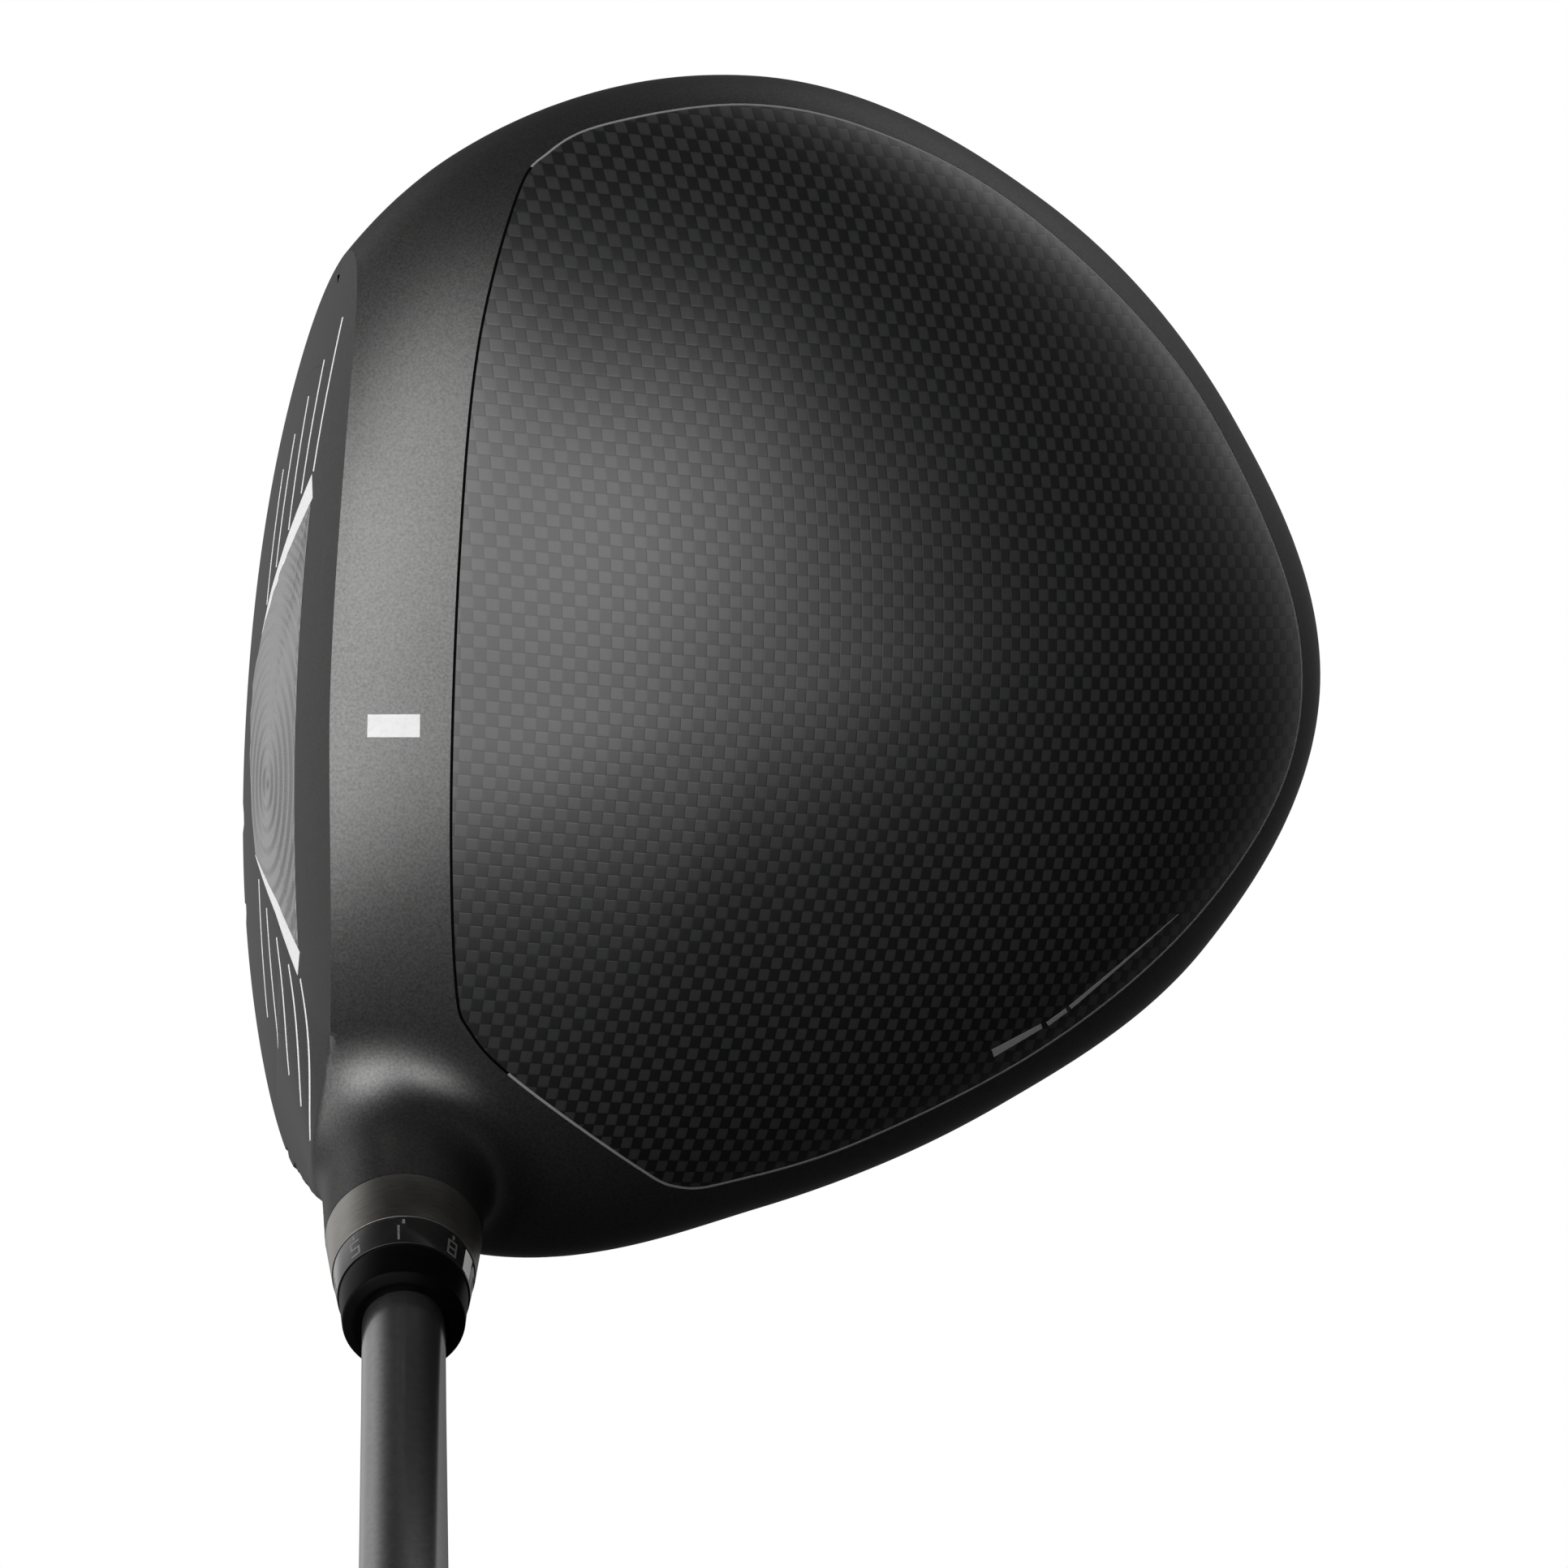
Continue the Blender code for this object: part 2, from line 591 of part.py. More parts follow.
def make_sleeve(materials):
    """Sleeve glued to the shaft: marked collar, bearing for the ring, teeth, and threaded end."""
    chamfer = 0.5
    profile = ((0.0, COLLAR_HEIGHT), (COLLAR_RADIUS - 0.5, COLLAR_HEIGHT),
               (COLLAR_RADIUS, 0.0), (BEARING_RADIUS, 0.0), (BEARING_RADIUS, HOSEL_TOP + GAP),
               (TOOTH_ROOT, HOSEL_TOP + GAP), (TOOTH_ROOT, TEETH_BOTTOM),
               (SLEEVE_RADIUS, TEETH_BOTTOM - chamfer), (SLEEVE_RADIUS, SLEEVE_BOTTOM + chamfer),
               (SLEEVE_RADIUS - chamfer, SLEEVE_BOTTOM), (0.0, SLEEVE_BOTTOM))
    sleeve = turned("sleeve", profile, HOSEL_FRAME, 48)
    teeth = prism("teeth", toothed(TOOTH_ROOT - 0.2, BEARING_RADIUS - 0.05, TOOTH_COUNT, 0.4),
                       TEETH_BOTTOM, HOSEL_TOP + 0.5, HOSEL_FRAME)
    combine(sleeve, teeth, "UNION")
    bore = cylinder("bore", SHAFT_TIP_RADIUS + GAP, SHAFT_TIP - 0.8, 20.0, SHAFT_FRAME)
    combine(sleeve, bore, "DIFFERENCE")
    thread = cylinder("thread", SCREW_RADIUS + GAP, SLEEVE_BOTTOM - 2.0, SHAFT_TIP - 3.0, HOSEL_FRAME)
    combine(sleeve, thread, "DIFFERENCE")
    finish(sleeve, "sleeve", materials["black_anodised"])


def make_screw(materials):
    """Captive screw with a star socket, its washer, and the ring that keeps it in the head."""
    head_top = SHELF_BOTTOM - 1.7
    head_bottom = head_top - 4.3
    profile = ((0.0, SLEEVE_BOTTOM + 10.0), (SCREW_RADIUS - 0.5, SLEEVE_BOTTOM + 10.0),
               (SCREW_RADIUS, SLEEVE_BOTTOM + 9.5), (SCREW_RADIUS, head_top),
               (SCREW_HEAD_RADIUS, head_top), (SCREW_HEAD_RADIUS, head_bottom + 0.5),
               (SCREW_HEAD_RADIUS - 0.5, head_bottom), (0.0, head_bottom))
    screw = turned("sleeve_screw", profile, HOSEL_FRAME)
    socket = prism("socket", lobed(2.3, 0.24, 6), head_bottom - 2.0, head_bottom + 2.8, HOSEL_FRAME)
    combine(screw, socket, "DIFFERENCE")
    finish(screw, "sleeve_screw", materials["steel"])
    for name, inner, outer, bottom, top in (
            ("screw_washer", SCREW_RADIUS + GAP, SCREW_HEAD_RADIUS, head_top + GAP, SHELF_BOTTOM - GAP),
            ("screw_retainer", SCREW_HEAD_RADIUS - 0.6, ACCESS_RADIUS + 0.4, RETAINER_Z - 0.5,
             RETAINER_Z + 0.5)):
        profile = ((inner, top), (outer, top), (outer, bottom), (inner, bottom))
        finish(turned(name, profile, HOSEL_FRAME, 24), name, materials["steel"])


# ---------------------------------------------------------------- shaft and grip

def shaft_radius(height):
    """Outer radius of the shaft: parallel at the tip, then an even taper to the butt."""
    if height <= TIP_PARALLEL:
        return SHAFT_TIP_RADIUS
    share = (height - TIP_PARALLEL) / (SHAFT_BUTT - TIP_PARALLEL)
    return SHAFT_TIP_RADIUS + (SHAFT_BUTT_RADIUS - SHAFT_TIP_RADIUS) * share


def make_shaft(materials):
    heights = (SHAFT_BUTT, TIP_PARALLEL, SHAFT_TIP)
    profile = [(shaft_radius(height), height) for height in heights]
    profile += [(shaft_radius(height) - SHAFT_WALL, height) for height in reversed(heights)]
    finish(turned("shaft", profile, SHAFT_FRAME), "shaft", materials["graphite"])
    plug_radius = SHAFT_TIP_RADIUS - SHAFT_WALL - GAP
    profile = ((0.0, SHAFT_TIP + 10.0), (plug_radius, SHAFT_TIP + 10.0), (plug_radius, SHAFT_TIP + 0.2),
               (0.0, SHAFT_TIP + 0.2))
    finish(turned("tip_plug", profile, SHAFT_FRAME, 24), "tip_plug", materials["rubber"])
    bottom = COLLAR_HEIGHT + GAP + 0.1
    inner = SHAFT_TIP_RADIUS + GAP
    profile = ((inner, FERRULE_TOP), (FERRULE_RADIUS - 1.4, FERRULE_TOP),
               (FERRULE_RADIUS - 0.3, FERRULE_TOP - 0.7), (FERRULE_RADIUS, bottom), (inner, bottom))
    finish(turned("ferrule", profile, SHAFT_FRAME, 48), "ferrule", materials["ferrule"])


def make_grip(materials):
    """Double-sided tape on the shaft, the rubber grip over it, and the grip's butt cap."""
    mouth, butt = shaft_radius(GRIP_MOUTH), shaft_radius(SHAFT_BUTT)
    tape_gap, tape_top, tape = 0.3, 0.6, 2.0
    profile = ((butt + tape_top, SHAFT_BUTT - tape), (mouth + tape_top, GRIP_MOUTH + tape),
               (mouth + tape_gap, GRIP_MOUTH + tape), (butt + tape_gap, SHAFT_BUTT - tape))
    finish(turned("grip_tape", profile, SHAFT_FRAME), "grip_tape", materials["tape"])
    bore_gap = 0.9
    profile = [(butt + bore_gap, SHAFT_BUTT), (GRIP_BUTT_RADIUS - 1.6, SHAFT_BUTT)]
    profile += [(GRIP_BUTT_RADIUS, SHAFT_BUTT - 3.0), (GRIP_BUTT_RADIUS - 0.4, SHAFT_BUTT - 16.0),
                (11.6, SHAFT_BUTT - 90.0), (GRIP_MOUTH_RADIUS, GRIP_MOUTH + 3.0),
                (GRIP_MOUTH_RADIUS - 0.7, GRIP_MOUTH), (mouth + bore_gap, GRIP_MOUTH)]
    finish(turned("grip", profile, SHAFT_FRAME, 36), "grip", materials["rubber"])
    plug = SHAFT_BUTT_RADIUS - SHAFT_WALL - GAP
    profile = ((0.9, CAP_TOP), (9.0, CAP_TOP), (10.6, CAP_TOP - 0.5), (11.6, SHAFT_BUTT + 4.5),
               (GRIP_BUTT_RADIUS - 1.6, SHAFT_BUTT + GAP), (plug, SHAFT_BUTT + GAP),
               (plug, SHAFT_BUTT - 9.0), (0.9, SHAFT_BUTT - 9.0))
    finish(turned("grip_cap", profile, SHAFT_FRAME, 36), "grip_cap", materials["rubber"])


def main():
    clear_scene()
    materials = {
        name: make_material(name, colour, metallic, roughness)
        for name, colour, metallic, roughness in (
            ("painted_titanium", (0.035, 0.037, 0.038), 0.6, 0.35),
            ("face_titanium", (0.10, 0.10, 0.10), 0.8, 0.45),
            ("carbon", (0.02, 0.02, 0.022), 0.0, 0.3),
            ("steel", (0.45, 0.45, 0.46), 1.0, 0.3),
            ("brushed", (0.25, 0.24, 0.22), 1.0, 0.35),
            ("black_anodised", (0.012, 0.012, 0.013), 0.4, 0.3),
            ("ferrule", (0.004, 0.004, 0.004), 0.0, 0.15),
            ("graphite", (0.015, 0.016, 0.017), 0.0, 0.3),
            ("rubber", (0.02, 0.02, 0.02), 0.0, 0.8),
            ("tape", (0.6, 0.55, 0.4), 0.0, 0.8),
        )
    }
    make_head(materials)
    for weight in (REAR_WEIGHT, FRONT_WEIGHT):
        make_weight(weight, materials)
    make_hosel_ring(materials)
    make_bush(materials)
    make_sleeve(materials)
    make_screw(materials)
    make_shaft(materials)
    make_grip(materials)


main()
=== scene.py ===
"""Looks of the golf driver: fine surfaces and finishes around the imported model.

Lengths are in millimetres in the frame's own axes (+X to the back of the head, +Y to the toe, +Z up)
and every mesh is scaled to metres when its object is made.
"""

import json
import math

import bmesh
import bpy
import numpy as np
from mathutils import Matrix, Vector


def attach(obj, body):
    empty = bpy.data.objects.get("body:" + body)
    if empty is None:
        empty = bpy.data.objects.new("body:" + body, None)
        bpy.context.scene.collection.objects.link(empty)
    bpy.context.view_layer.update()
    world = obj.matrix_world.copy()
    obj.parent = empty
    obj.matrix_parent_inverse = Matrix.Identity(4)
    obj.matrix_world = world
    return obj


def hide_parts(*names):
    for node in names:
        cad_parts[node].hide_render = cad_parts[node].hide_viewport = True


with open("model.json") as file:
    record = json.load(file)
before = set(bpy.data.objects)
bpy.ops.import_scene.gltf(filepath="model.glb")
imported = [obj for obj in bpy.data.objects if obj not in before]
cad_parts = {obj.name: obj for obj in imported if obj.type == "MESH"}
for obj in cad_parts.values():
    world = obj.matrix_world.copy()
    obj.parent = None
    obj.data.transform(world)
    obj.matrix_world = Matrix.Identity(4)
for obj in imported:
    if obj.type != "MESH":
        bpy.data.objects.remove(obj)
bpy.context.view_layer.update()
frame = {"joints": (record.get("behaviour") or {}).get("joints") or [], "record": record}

MM = 0.001
GAP = 0.3
JOINTS = {joint["name"]: joint for joint in frame["joints"]}


# ---------------------------------------------------------------- axes

def axis_frame(point, direction):
    """A frame whose Z runs along the direction, and whose Y leans to the world's +X."""
    z = Vector(direction).normalized()
    x = z.cross(Vector((1.0, 0.0, 0.0))).normalized()
    y = z.cross(x)
    place = Matrix((x, y, z)).transposed().to_4x4()
    place.translation = Vector(point)
    return place


def joint_frame(name):
    """The frame of a hinge: its origin and its axis, in millimetres."""
    joint = JOINTS[name]
    return axis_frame(Vector(joint["pos_m"]) / MM, joint["axis"])


HOSEL_FRAME = joint_frame("sleeve_turn")
HOSEL_POINT = np.array(HOSEL_FRAME.translation)
HOSEL_UP = np.array(HOSEL_FRAME.to_3x3().col[2])
MOUNTS = {mount["name"]: mount for mount in frame["record"]["mounts"]}
SHAFT_UP = Vector(MOUNTS["grip_hold"]["axis"]).normalized()
CANT_PIVOT = -10.0
PIVOT = Vector(HOSEL_POINT + HOSEL_UP * CANT_PIVOT)
SHAFT_FRAME = axis_frame(PIVOT - SHAFT_UP * CANT_PIVOT, SHAFT_UP)

# ---------------------------------------------------------------- sizes shared with the CAD model

HEAD_CENTRE = (24.0, 4.0)
PLAN_RADII = (61.8, 60.2, 62.1, 66.9, 66.9, 63.3, 64.4, 73.9, 69.4, 56.2, 52.3, 56.4)
RIM_HEIGHT = 29.0
RIM_FALL = 0.08
CROWN_RISE = 30.5
SOLE_RISE = 0.0018
SOLE_RISE_START = 10.0
REST_FLAT = 1.0
CROWN_FULLNESS = (2.2, 2.0, 2.1)
SOLE_FULLNESS = (2.9, 2.3, 2.4)
HULL_SCALE = 38.0
FACE_BLEND = 0.5
NECK_BLEND = 7.0
LOFT = math.radians(12.0)
FACE_X = -29.2
FACE_Y = -8.6
FACE_Z = 30.0
FACE_RADIUS = 242.0
FACE_MIDDLE = (3.0, 33.0)
FACE_HALF_WIDTH = 36.0
FACE_HALF_HEIGHT = 15.5
FACE_TOE_RISE = 0.04
FACE_CORNERS = (0.8, 0.85)
INSERT_BACK = -19.0
HOSEL_TOP = -6.8
NECK_RADIUS = 8.24
NECK_TAPER = 0.045
NECK_BOTTOM = -38.0

WALL = 1.8
PANEL = 0.7
LEDGE_DEPTH = 1.1
LEDGE_WIDTH = 4.0
# Lowest and highest point of the cuts that hold the crown panel and the sole panels
CROWN_REACH = (28.0, 90.0)
SOLE_REACH = (-6.0, 20.0)
FACE_THICKNESS = 2.7
VOXEL = 1.1
ROUGH_VOXEL = 3.0
BOSS_DEPTH = 0.35
# How the crease round the face stays crisp: reach of the snap in voxels, share of the way to a face's
# middle where its corner normals are read, and how near the crease that applies
SNAP_SHARE = 0.72
CORNER_PULL = 0.5
CREASE_REACH = 0.6

# Drape of the carbon cloth, counted in cells from the head's middle: (cells, power of x, power of y)
WEAVE_COLUMNS = ((0.856, 1, 0), (-0.038, 0, 1), (2.18e-3, 2, 0), (-6.1e-4, 1, 1), (2.29e-3, 0, 2),
                 (8.6e-6, 3, 0), (8.8e-6, 2, 1), (2.11e-5, 1, 2), (-9e-7, 0, 3))
WEAVE_ROWS = ((0.0515, 1, 0), (0.7575, 0, 1), (-5.3e-4, 2, 0), (3.73e-4, 1, 1), (-6.36e-4, 0, 2),
              (-2.3e-6, 3, 0), (-5e-7, 2, 1), (-4.6e-6, 1, 2), (1.07e-6, 0, 3))
WEAVE_START = 200.0

THREAD_PITCH = 1.0
SLEEVE_RADIUS = 5.6
BEARING_RADIUS = 6.4
TOOTH_COUNT = 24
TOOTH_ROOT = 5.7
TEETH_BOTTOM = -12.5
SLEEVE_BOTTOM = -38.0
SHELF_BOTTOM = -43.0
COLLAR_HEIGHT = 3.8
COLLAR_RADIUS = 7.38
BUSH_RADIUS = 7.1
ACCESS_RADIUS = 4.75
RETAINER_Z = -60.2
SCREW_RADIUS = 2.35
SCREW_HEAD_RADIUS = 4.3
# Radius, bottom and top of the holes along the hosel's axis, from the collar down to the sole
HOSEL_BORES = ((7.3, -13.2, 20.0), (5.9, -40.0, 20.0), (2.8, -48.0, 0.0), (4.75, -100.0, -43.0),
               (5.45, -61.0, -59.4))

SHAFT_TIP = -22.5
SHAFT_TIP_RADIUS = 4.3
SHAFT_BUTT_RADIUS = 7.6
SHAFT_WALL = 1.2
TIP_PARALLEL = 25.0
SHAFT_BUTT = 1071.0
FERRULE_TOP = 9.4
FERRULE_RADIUS = 6.7
GRIP_MOUTH = 803.0
GRIP_MOUTH_RADIUS = 9.6
GRIP_BUTT_RADIUS = 13.3
CAP_TOP = 1078.0

CROWN_SEAM = (
    (82.8, 7.0), (79.0, 21.5), (69.0, 39.6), (52.0, 56.0), (36.0, 64.3), (22.0, 67.0),
    (7.0, 64.7), (0.6, 61.4), (-2.8, 56.5), (-7.0, 40.0), (-9.0, 18.0), (-9.9, -8.0),
    (-9.4, -27.0), (-7.8, -32.3), (-3.0, -37.4), (9.5, -46.6), (14.6, -49.3), (20.5, -48.8),
    (34.0, -44.8), (54.0, -34.8), (70.0, -21.8), (80.4, -7.0),
)
TOE_PANEL = ((4.0, 16.0), (30.0, 15.0), (55.0, 17.0), (60.0, 27.0), (50.0, 42.0), (32.0, 49.0),
             (10.0, 48.0), (-2.0, 37.0), (-3.0, 24.0))
HEEL_PANEL = ((56.0, -17.0), (30.0, -15.5), (9.0, -16.5), (4.0, -26.0), (8.0, -36.0),
              (22.0, -39.0), (40.0, -35.0), (53.0, -28.0))


# ---------------------------------------------------------------- mesh helpers

def add_object(name, bm, place=None):
    """Makes an object from a bmesh in millimetres, placed by its frame (also in millimetres)."""
    bmesh.ops.scale(bm, vec=(MM, MM, MM), verts=bm.verts)
    mesh = bpy.data.meshes.new(name)
    bm.to_mesh(mesh)
    bm.free()
    obj = bpy.data.objects.new(name, mesh)
    bpy.context.scene.collection.objects.link(obj)
    if place is not None:
        world = place.copy()
        world.translation *= MM
        obj.matrix_world = world
    bpy.context.view_layer.update()
    return obj


def mesh_points(mesh):
    """A mesh's vertices in millimetres."""
    points = np.empty(len(mesh.vertices) * 3)
    mesh.vertices.foreach_get("co", points)
    return points.reshape(-1, 3) / MM


def set_points(mesh, points):
    mesh.vertices.foreach_set("co", (points * MM).ravel())
    mesh.update()


def integers(items, name):
    values = np.empty(len(items), int)
    items.foreach_get(name, values)
    return values


def polar(radius, angle, *height):
    return (radius * math.cos(angle), radius * math.sin(angle), *height)


def join_rings(bm, rings):
    """Faces between each ring of vertices and the next; a ring may be one vertex repeated."""
    for low, high in zip(rings, rings[1:]):
        for index in range(len(low)):
            after = (index + 1) % len(low)
            bm.faces.new(tuple(dict.fromkeys((low[index], low[after], high[after], high[index]))))


def baked_mesh(obj):
    graph = bpy.context.evaluated_depsgraph_get()
    return bpy.data.meshes.new_from_object(obj.evaluated_get(graph))


def combine(obj, tool, operation, keep_tool=False):
    """Applies a Boolean of two closed objects, and removes the tool."""
    modifier = obj.modifiers.new(operation.lower(), "BOOLEAN")
    modifier.operation = operation
    modifier.solver = "MANIFOLD"
    modifier.object = tool
    bpy.context.view_layer.update()
    mesh = baked_mesh(obj)
    obj.modifiers.clear()
    obj.data = mesh
    if not keep_tool:
        bpy.data.objects.remove(tool, do_unlink=True)
    bpy.context.view_layer.update()
    return obj


def copy_of(obj, name):
    twin = obj.copy()
    twin.data = obj.data.copy()
    twin.name = name
    bpy.context.scene.collection.objects.link(twin)
    bpy.context.view_layer.update()
    return twin


def place_piece(obj, body, material, replaced=(), sharp_angle=30.0):
    """Gives a finished piece its material, its body and the CAD nodes it stands for."""
    obj.data.name = obj.name
    obj.data.materials.clear()
    obj.data.materials.append(material)
    if sharp_angle:
        obj.data.shade_smooth()
        obj.data.set_sharp_from_angle(angle=math.radians(sharp_angle))
    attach(obj, body)
    if replaced:
        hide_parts(*replaced)
    return obj


def turned(name, profile, place, steps=128):
    """A solid of revolution about the frame's Z, from a closed outline of (radius, height)."""
    bm = bmesh.new()
    points = [bm.verts.new((radius, 0.0, height)) for radius, height in profile]
    edges = []
    for index, point in enumerate(points):
        follower = points[(index + 1) % len(points)]
        if point.co.x > 0.0 or follower.co.x > 0.0:
            edges.append(bm.edges.new((point, follower)))
    bmesh.ops.spin(bm, geom=points + edges, cent=(0, 0, 0), axis=(0, 0, 1), dvec=(0, 0, 0),
                   angle=2 * math.pi, steps=steps, use_merge=True, use_duplicate=False)
    bmesh.ops.remove_doubles(bm, verts=bm.verts, dist=0.001)
    bmesh.ops.recalc_face_normals(bm, faces=bm.faces)
    return add_object(name, bm, place)


def rounded(profile, radius, steps=4):
    """Rounds every corner of a closed (radius, height) outline that is off the axis."""
    result = []
    count = len(profile)
    for index in range(count):
        here = Vector(profile[index])
        before = Vector(profile[index - 1]) - here
        after = Vector(profile[(index + 1) % count]) - here
        cut = min(radius, before.length * 0.45, after.length * 0.45)
        if here.x == 0.0 or cut < 0.01:
            result.append(tuple(here))
            continue
        start, end = here + before.normalized() * cut, here + after.normalized() * cut
        for step in range(steps + 1):
            t = step / steps
            result.append(tuple(start * (1 - t) ** 2 + here * 2 * t * (1 - t) + end * t**2))
    return result


def turned_piece(node, profile, soft, place, steps, body, material):
    """A finished turned piece that stands for a node, its corners softened."""
    piece = turned("fine_" + node, rounded(profile, soft), place, steps)
    return place_piece(piece, body, material, (node,))


def cylinder(name, radius, bottom, top, place, steps=128):
    return turned(name, ((0.0, top), (radius, top), (radius, bottom), (0.0, bottom)), place, steps)


def prism(name, points, bottom, top, place=None):
    """A prism over a closed outline of (x, y) points."""
    bm = bmesh.new()
    face = bm.faces.new([bm.verts.new((x, y, bottom)) for x, y in points])
    grown = bmesh.ops.extrude_face_region(bm, geom=[face])["geom"]
    lifted = [item for item in grown if isinstance(item, bmesh.types.BMVert)]
    bmesh.ops.translate(bm, vec=(0, 0, top - bottom), verts=lifted)
    bmesh.ops.recalc_face_normals(bm, faces=bm.faces)
    return add_object(name, bm, place)


def toothed(root, tip, count, fill):
    """Outline of a spline: tip-radius teeth, each filling that share of its pitch."""
    pitch = 2 * math.pi / count
    points = []
    for index in range(count):
        for radius, side in ((root, -0.62), (tip, -0.5), (tip, 0.5), (root, 0.62)):
            angle = index * pitch + side * fill * pitch
            points.append(polar(radius, angle))
    return points


def lobed(radius, depth, lobes, steps=120):
    """Outline of a star-drive socket."""
    points = []
    for index in range(steps):
        angle = 2 * math.pi * index / steps
        reach = radius * (1.0 - depth * (0.5 - 0.5 * math.cos(lobes * angle)))
        points.append(polar(reach, angle))
    return points


# ---------------------------------------------------------------- outlines

def spline(p0, p1, p2, p3, t):
    """A point on the Catmull-Rom span from p1 to p2."""
    return 0.5 * (2 * p1 + (p2 - p0) * t + (2 * p0 - 5 * p1 + 4 * p2 - p3) * t**2
                  + (3 * p1 - p0 - 3 * p2 + p3) * t**3)


def smooth_loop(points, per_span=14):
    """A closed Catmull-Rom curve through the points."""
    count = len(points)
    result = []
    for index in range(count):
        span = [np.array(points[(index + k) % count]) for k in (-1, 0, 1, 2)]
        result += [tuple(spline(*span, step / per_span)) for step in range(per_span)]
    return result


def inset_loop(points, distance):
    """Moves each point of a counter-clockwise outline inwards by the distance."""
    count = len(points)
    result = []
    for index in range(count):
        before, here = Vector(points[index - 1]), Vector(points[index])
        after = Vector(points[(index + 1) % count])
        normal = Vector(((after - before).y, -(after - before).x)).normalized()
        result.append(tuple(here - normal * distance))
    return result


def face_outline(grow, steps=160):
    """Outline of the face insert in (y, z)."""
    points = []
    for index in range(steps):
        angle = 2 * math.pi * index / steps
        c, s = math.cos(angle), math.sin(angle)
        y = math.copysign(abs(c) ** FACE_CORNERS[0], c) * FACE_HALF_WIDTH
        z = math.copysign(abs(s) ** FACE_CORNERS[1], s) * (FACE_HALF_HEIGHT + FACE_TOE_RISE * y)
        reach = 1.0 + grow / math.hypot(y, z)
        points.append((y * reach + FACE_MIDDLE[0], z * reach + FACE_MIDDLE[1]))
    return points


FACE_VIEW = Matrix(((0, 0, 1, 0), (1, 0, 0, 0), (0, 1, 0, 0), (0, 0, 0, 1)))


# ---------------------------------------------------------------- the head's surface

def plan_radius(angle):
    """Head outline radius at an angle, smooth through PLAN_RADII."""
    radii = np.array(PLAN_RADII)
    count = len(radii)
    turn = (angle % (2 * np.pi)) / (2 * np.pi) * count
    first = np.floor(turn).astype(int) % count
    return spline(*(radii[(first + k) % count] for k in (-1, 0, 1, 2)), turn - np.floor(turn))


def blend_min(a, b, width):
    share = np.clip(0.5 + 0.5 * (b - a) / width, 0.0, 1.0)
    return b * (1 - share) + a * share - width * share * (1 - share)


def full_sum(across, up, fullness):
    """How far out a point lies, as a share of the way to the surface."""
    plan, height, both = fullness
    return (across**plan + up**height) ** (1 / both)


def hull_value(points):
    """Negative inside the rounded body of the head, before the face is cut."""
    x, y, z = points.T
    dx, dy = x - HEAD_CENTRE[0], y - HEAD_CENTRE[1]
    reach = np.maximum(np.hypot(dx, dy) / plan_radius(np.arctan2(dy, dx)), 1e-6)
    rim = RIM_HEIGHT - RIM_FALL * dx
    floor = SOLE_RISE * np.maximum(x - SOLE_RISE_START, 0.0) ** 2 - REST_FLAT
    above = np.maximum(z - rim, 0.0) / CROWN_RISE
    below = np.maximum(rim - z, 0.0) / np.maximum(rim - floor, 1.0)
    crown = full_sum(reach, above, CROWN_FULLNESS)
    sole = full_sum(reach, below, SOLE_FULLNESS)
    return (np.where(z > rim, crown, sole) - 1.0) * HULL_SCALE


def face_value(points):
    """Negative behind the bulged face."""
    x, y, z = points.T
    dy, dz = y - FACE_Y, z - FACE_Z
    return FACE_X + dz * math.tan(LOFT) + (dy**2 + dz**2) / (2 * FACE_RADIUS) - x


def neck_value(points):
    """Negative inside the tapered neck that carries the hosel."""
    offset = points - HOSEL_POINT
    along = offset @ HOSEL_UP
    across = np.linalg.norm(offset - along[:, None] * HOSEL_UP, axis=1)
    neck = across - (NECK_RADIUS - NECK_TAPER * (along - HOSEL_TOP))
    return np.where(along < NECK_BOTTOM, np.maximum(neck, NECK_BOTTOM - along), neck)


def head_value(points):
    """Negative inside the head, positive outside; its zero is the outer surface."""
    body = -blend_min(-hull_value(points), -face_value(points), FACE_BLEND)
    return blend_min(body, neck_value(points), NECK_BLEND)


def head_gradient(points, step=0.05, value=head_value):
    columns = []
    for axis in range(3):
        shift = np.zeros(3)
        shift[axis] = step
        columns.append((value(points + shift) - value(points - shift)) / (2 * step))
    return np.stack(columns, axis=1)


def surface_normals(points):
    slope = head_gradient(np.atleast_2d(points))
    return slope / np.maximum(np.linalg.norm(slope, axis=1, keepdims=True), 1e-9)


def pull_to_surface(points, depth):
    """Moves points along the gradient until they lie that deep under the outer surface."""
    points = points.copy()
    for _ in range(12):
        slope = head_gradient(points)
        length = np.maximum(np.linalg.norm(slope, axis=1), 1e-6)
        error = head_value(points) / length + depth
        points -= np.clip(error, -3.0, 3.0)[:, None] * slope / length[:, None]
    return points


def drop_to_surface(points, start, direction):
    """Runs from start * direction towards the head along each point's line, and stops on the surface."""
    points = np.array(points, float) - np.array(direction) * start
    near, far = np.zeros(len(points)), np.full(len(points), float(start))
    stride = start / 120
    for step in np.arange(0.0, start, stride):
        outside = head_value(points + step * np.array(direction)) > 0
        near = np.where(outside & (near >= step - 1.5 * stride), step, near)
    far = near + stride
    for _ in range(24):
        half = (near + far) / 2
        outside = head_value(points + half[:, None] * np.array(direction)) > 0
        near, far = np.where(outside, half, near), np.where(outside, far, half)
    return points + near[:, None] * np.array(direction)


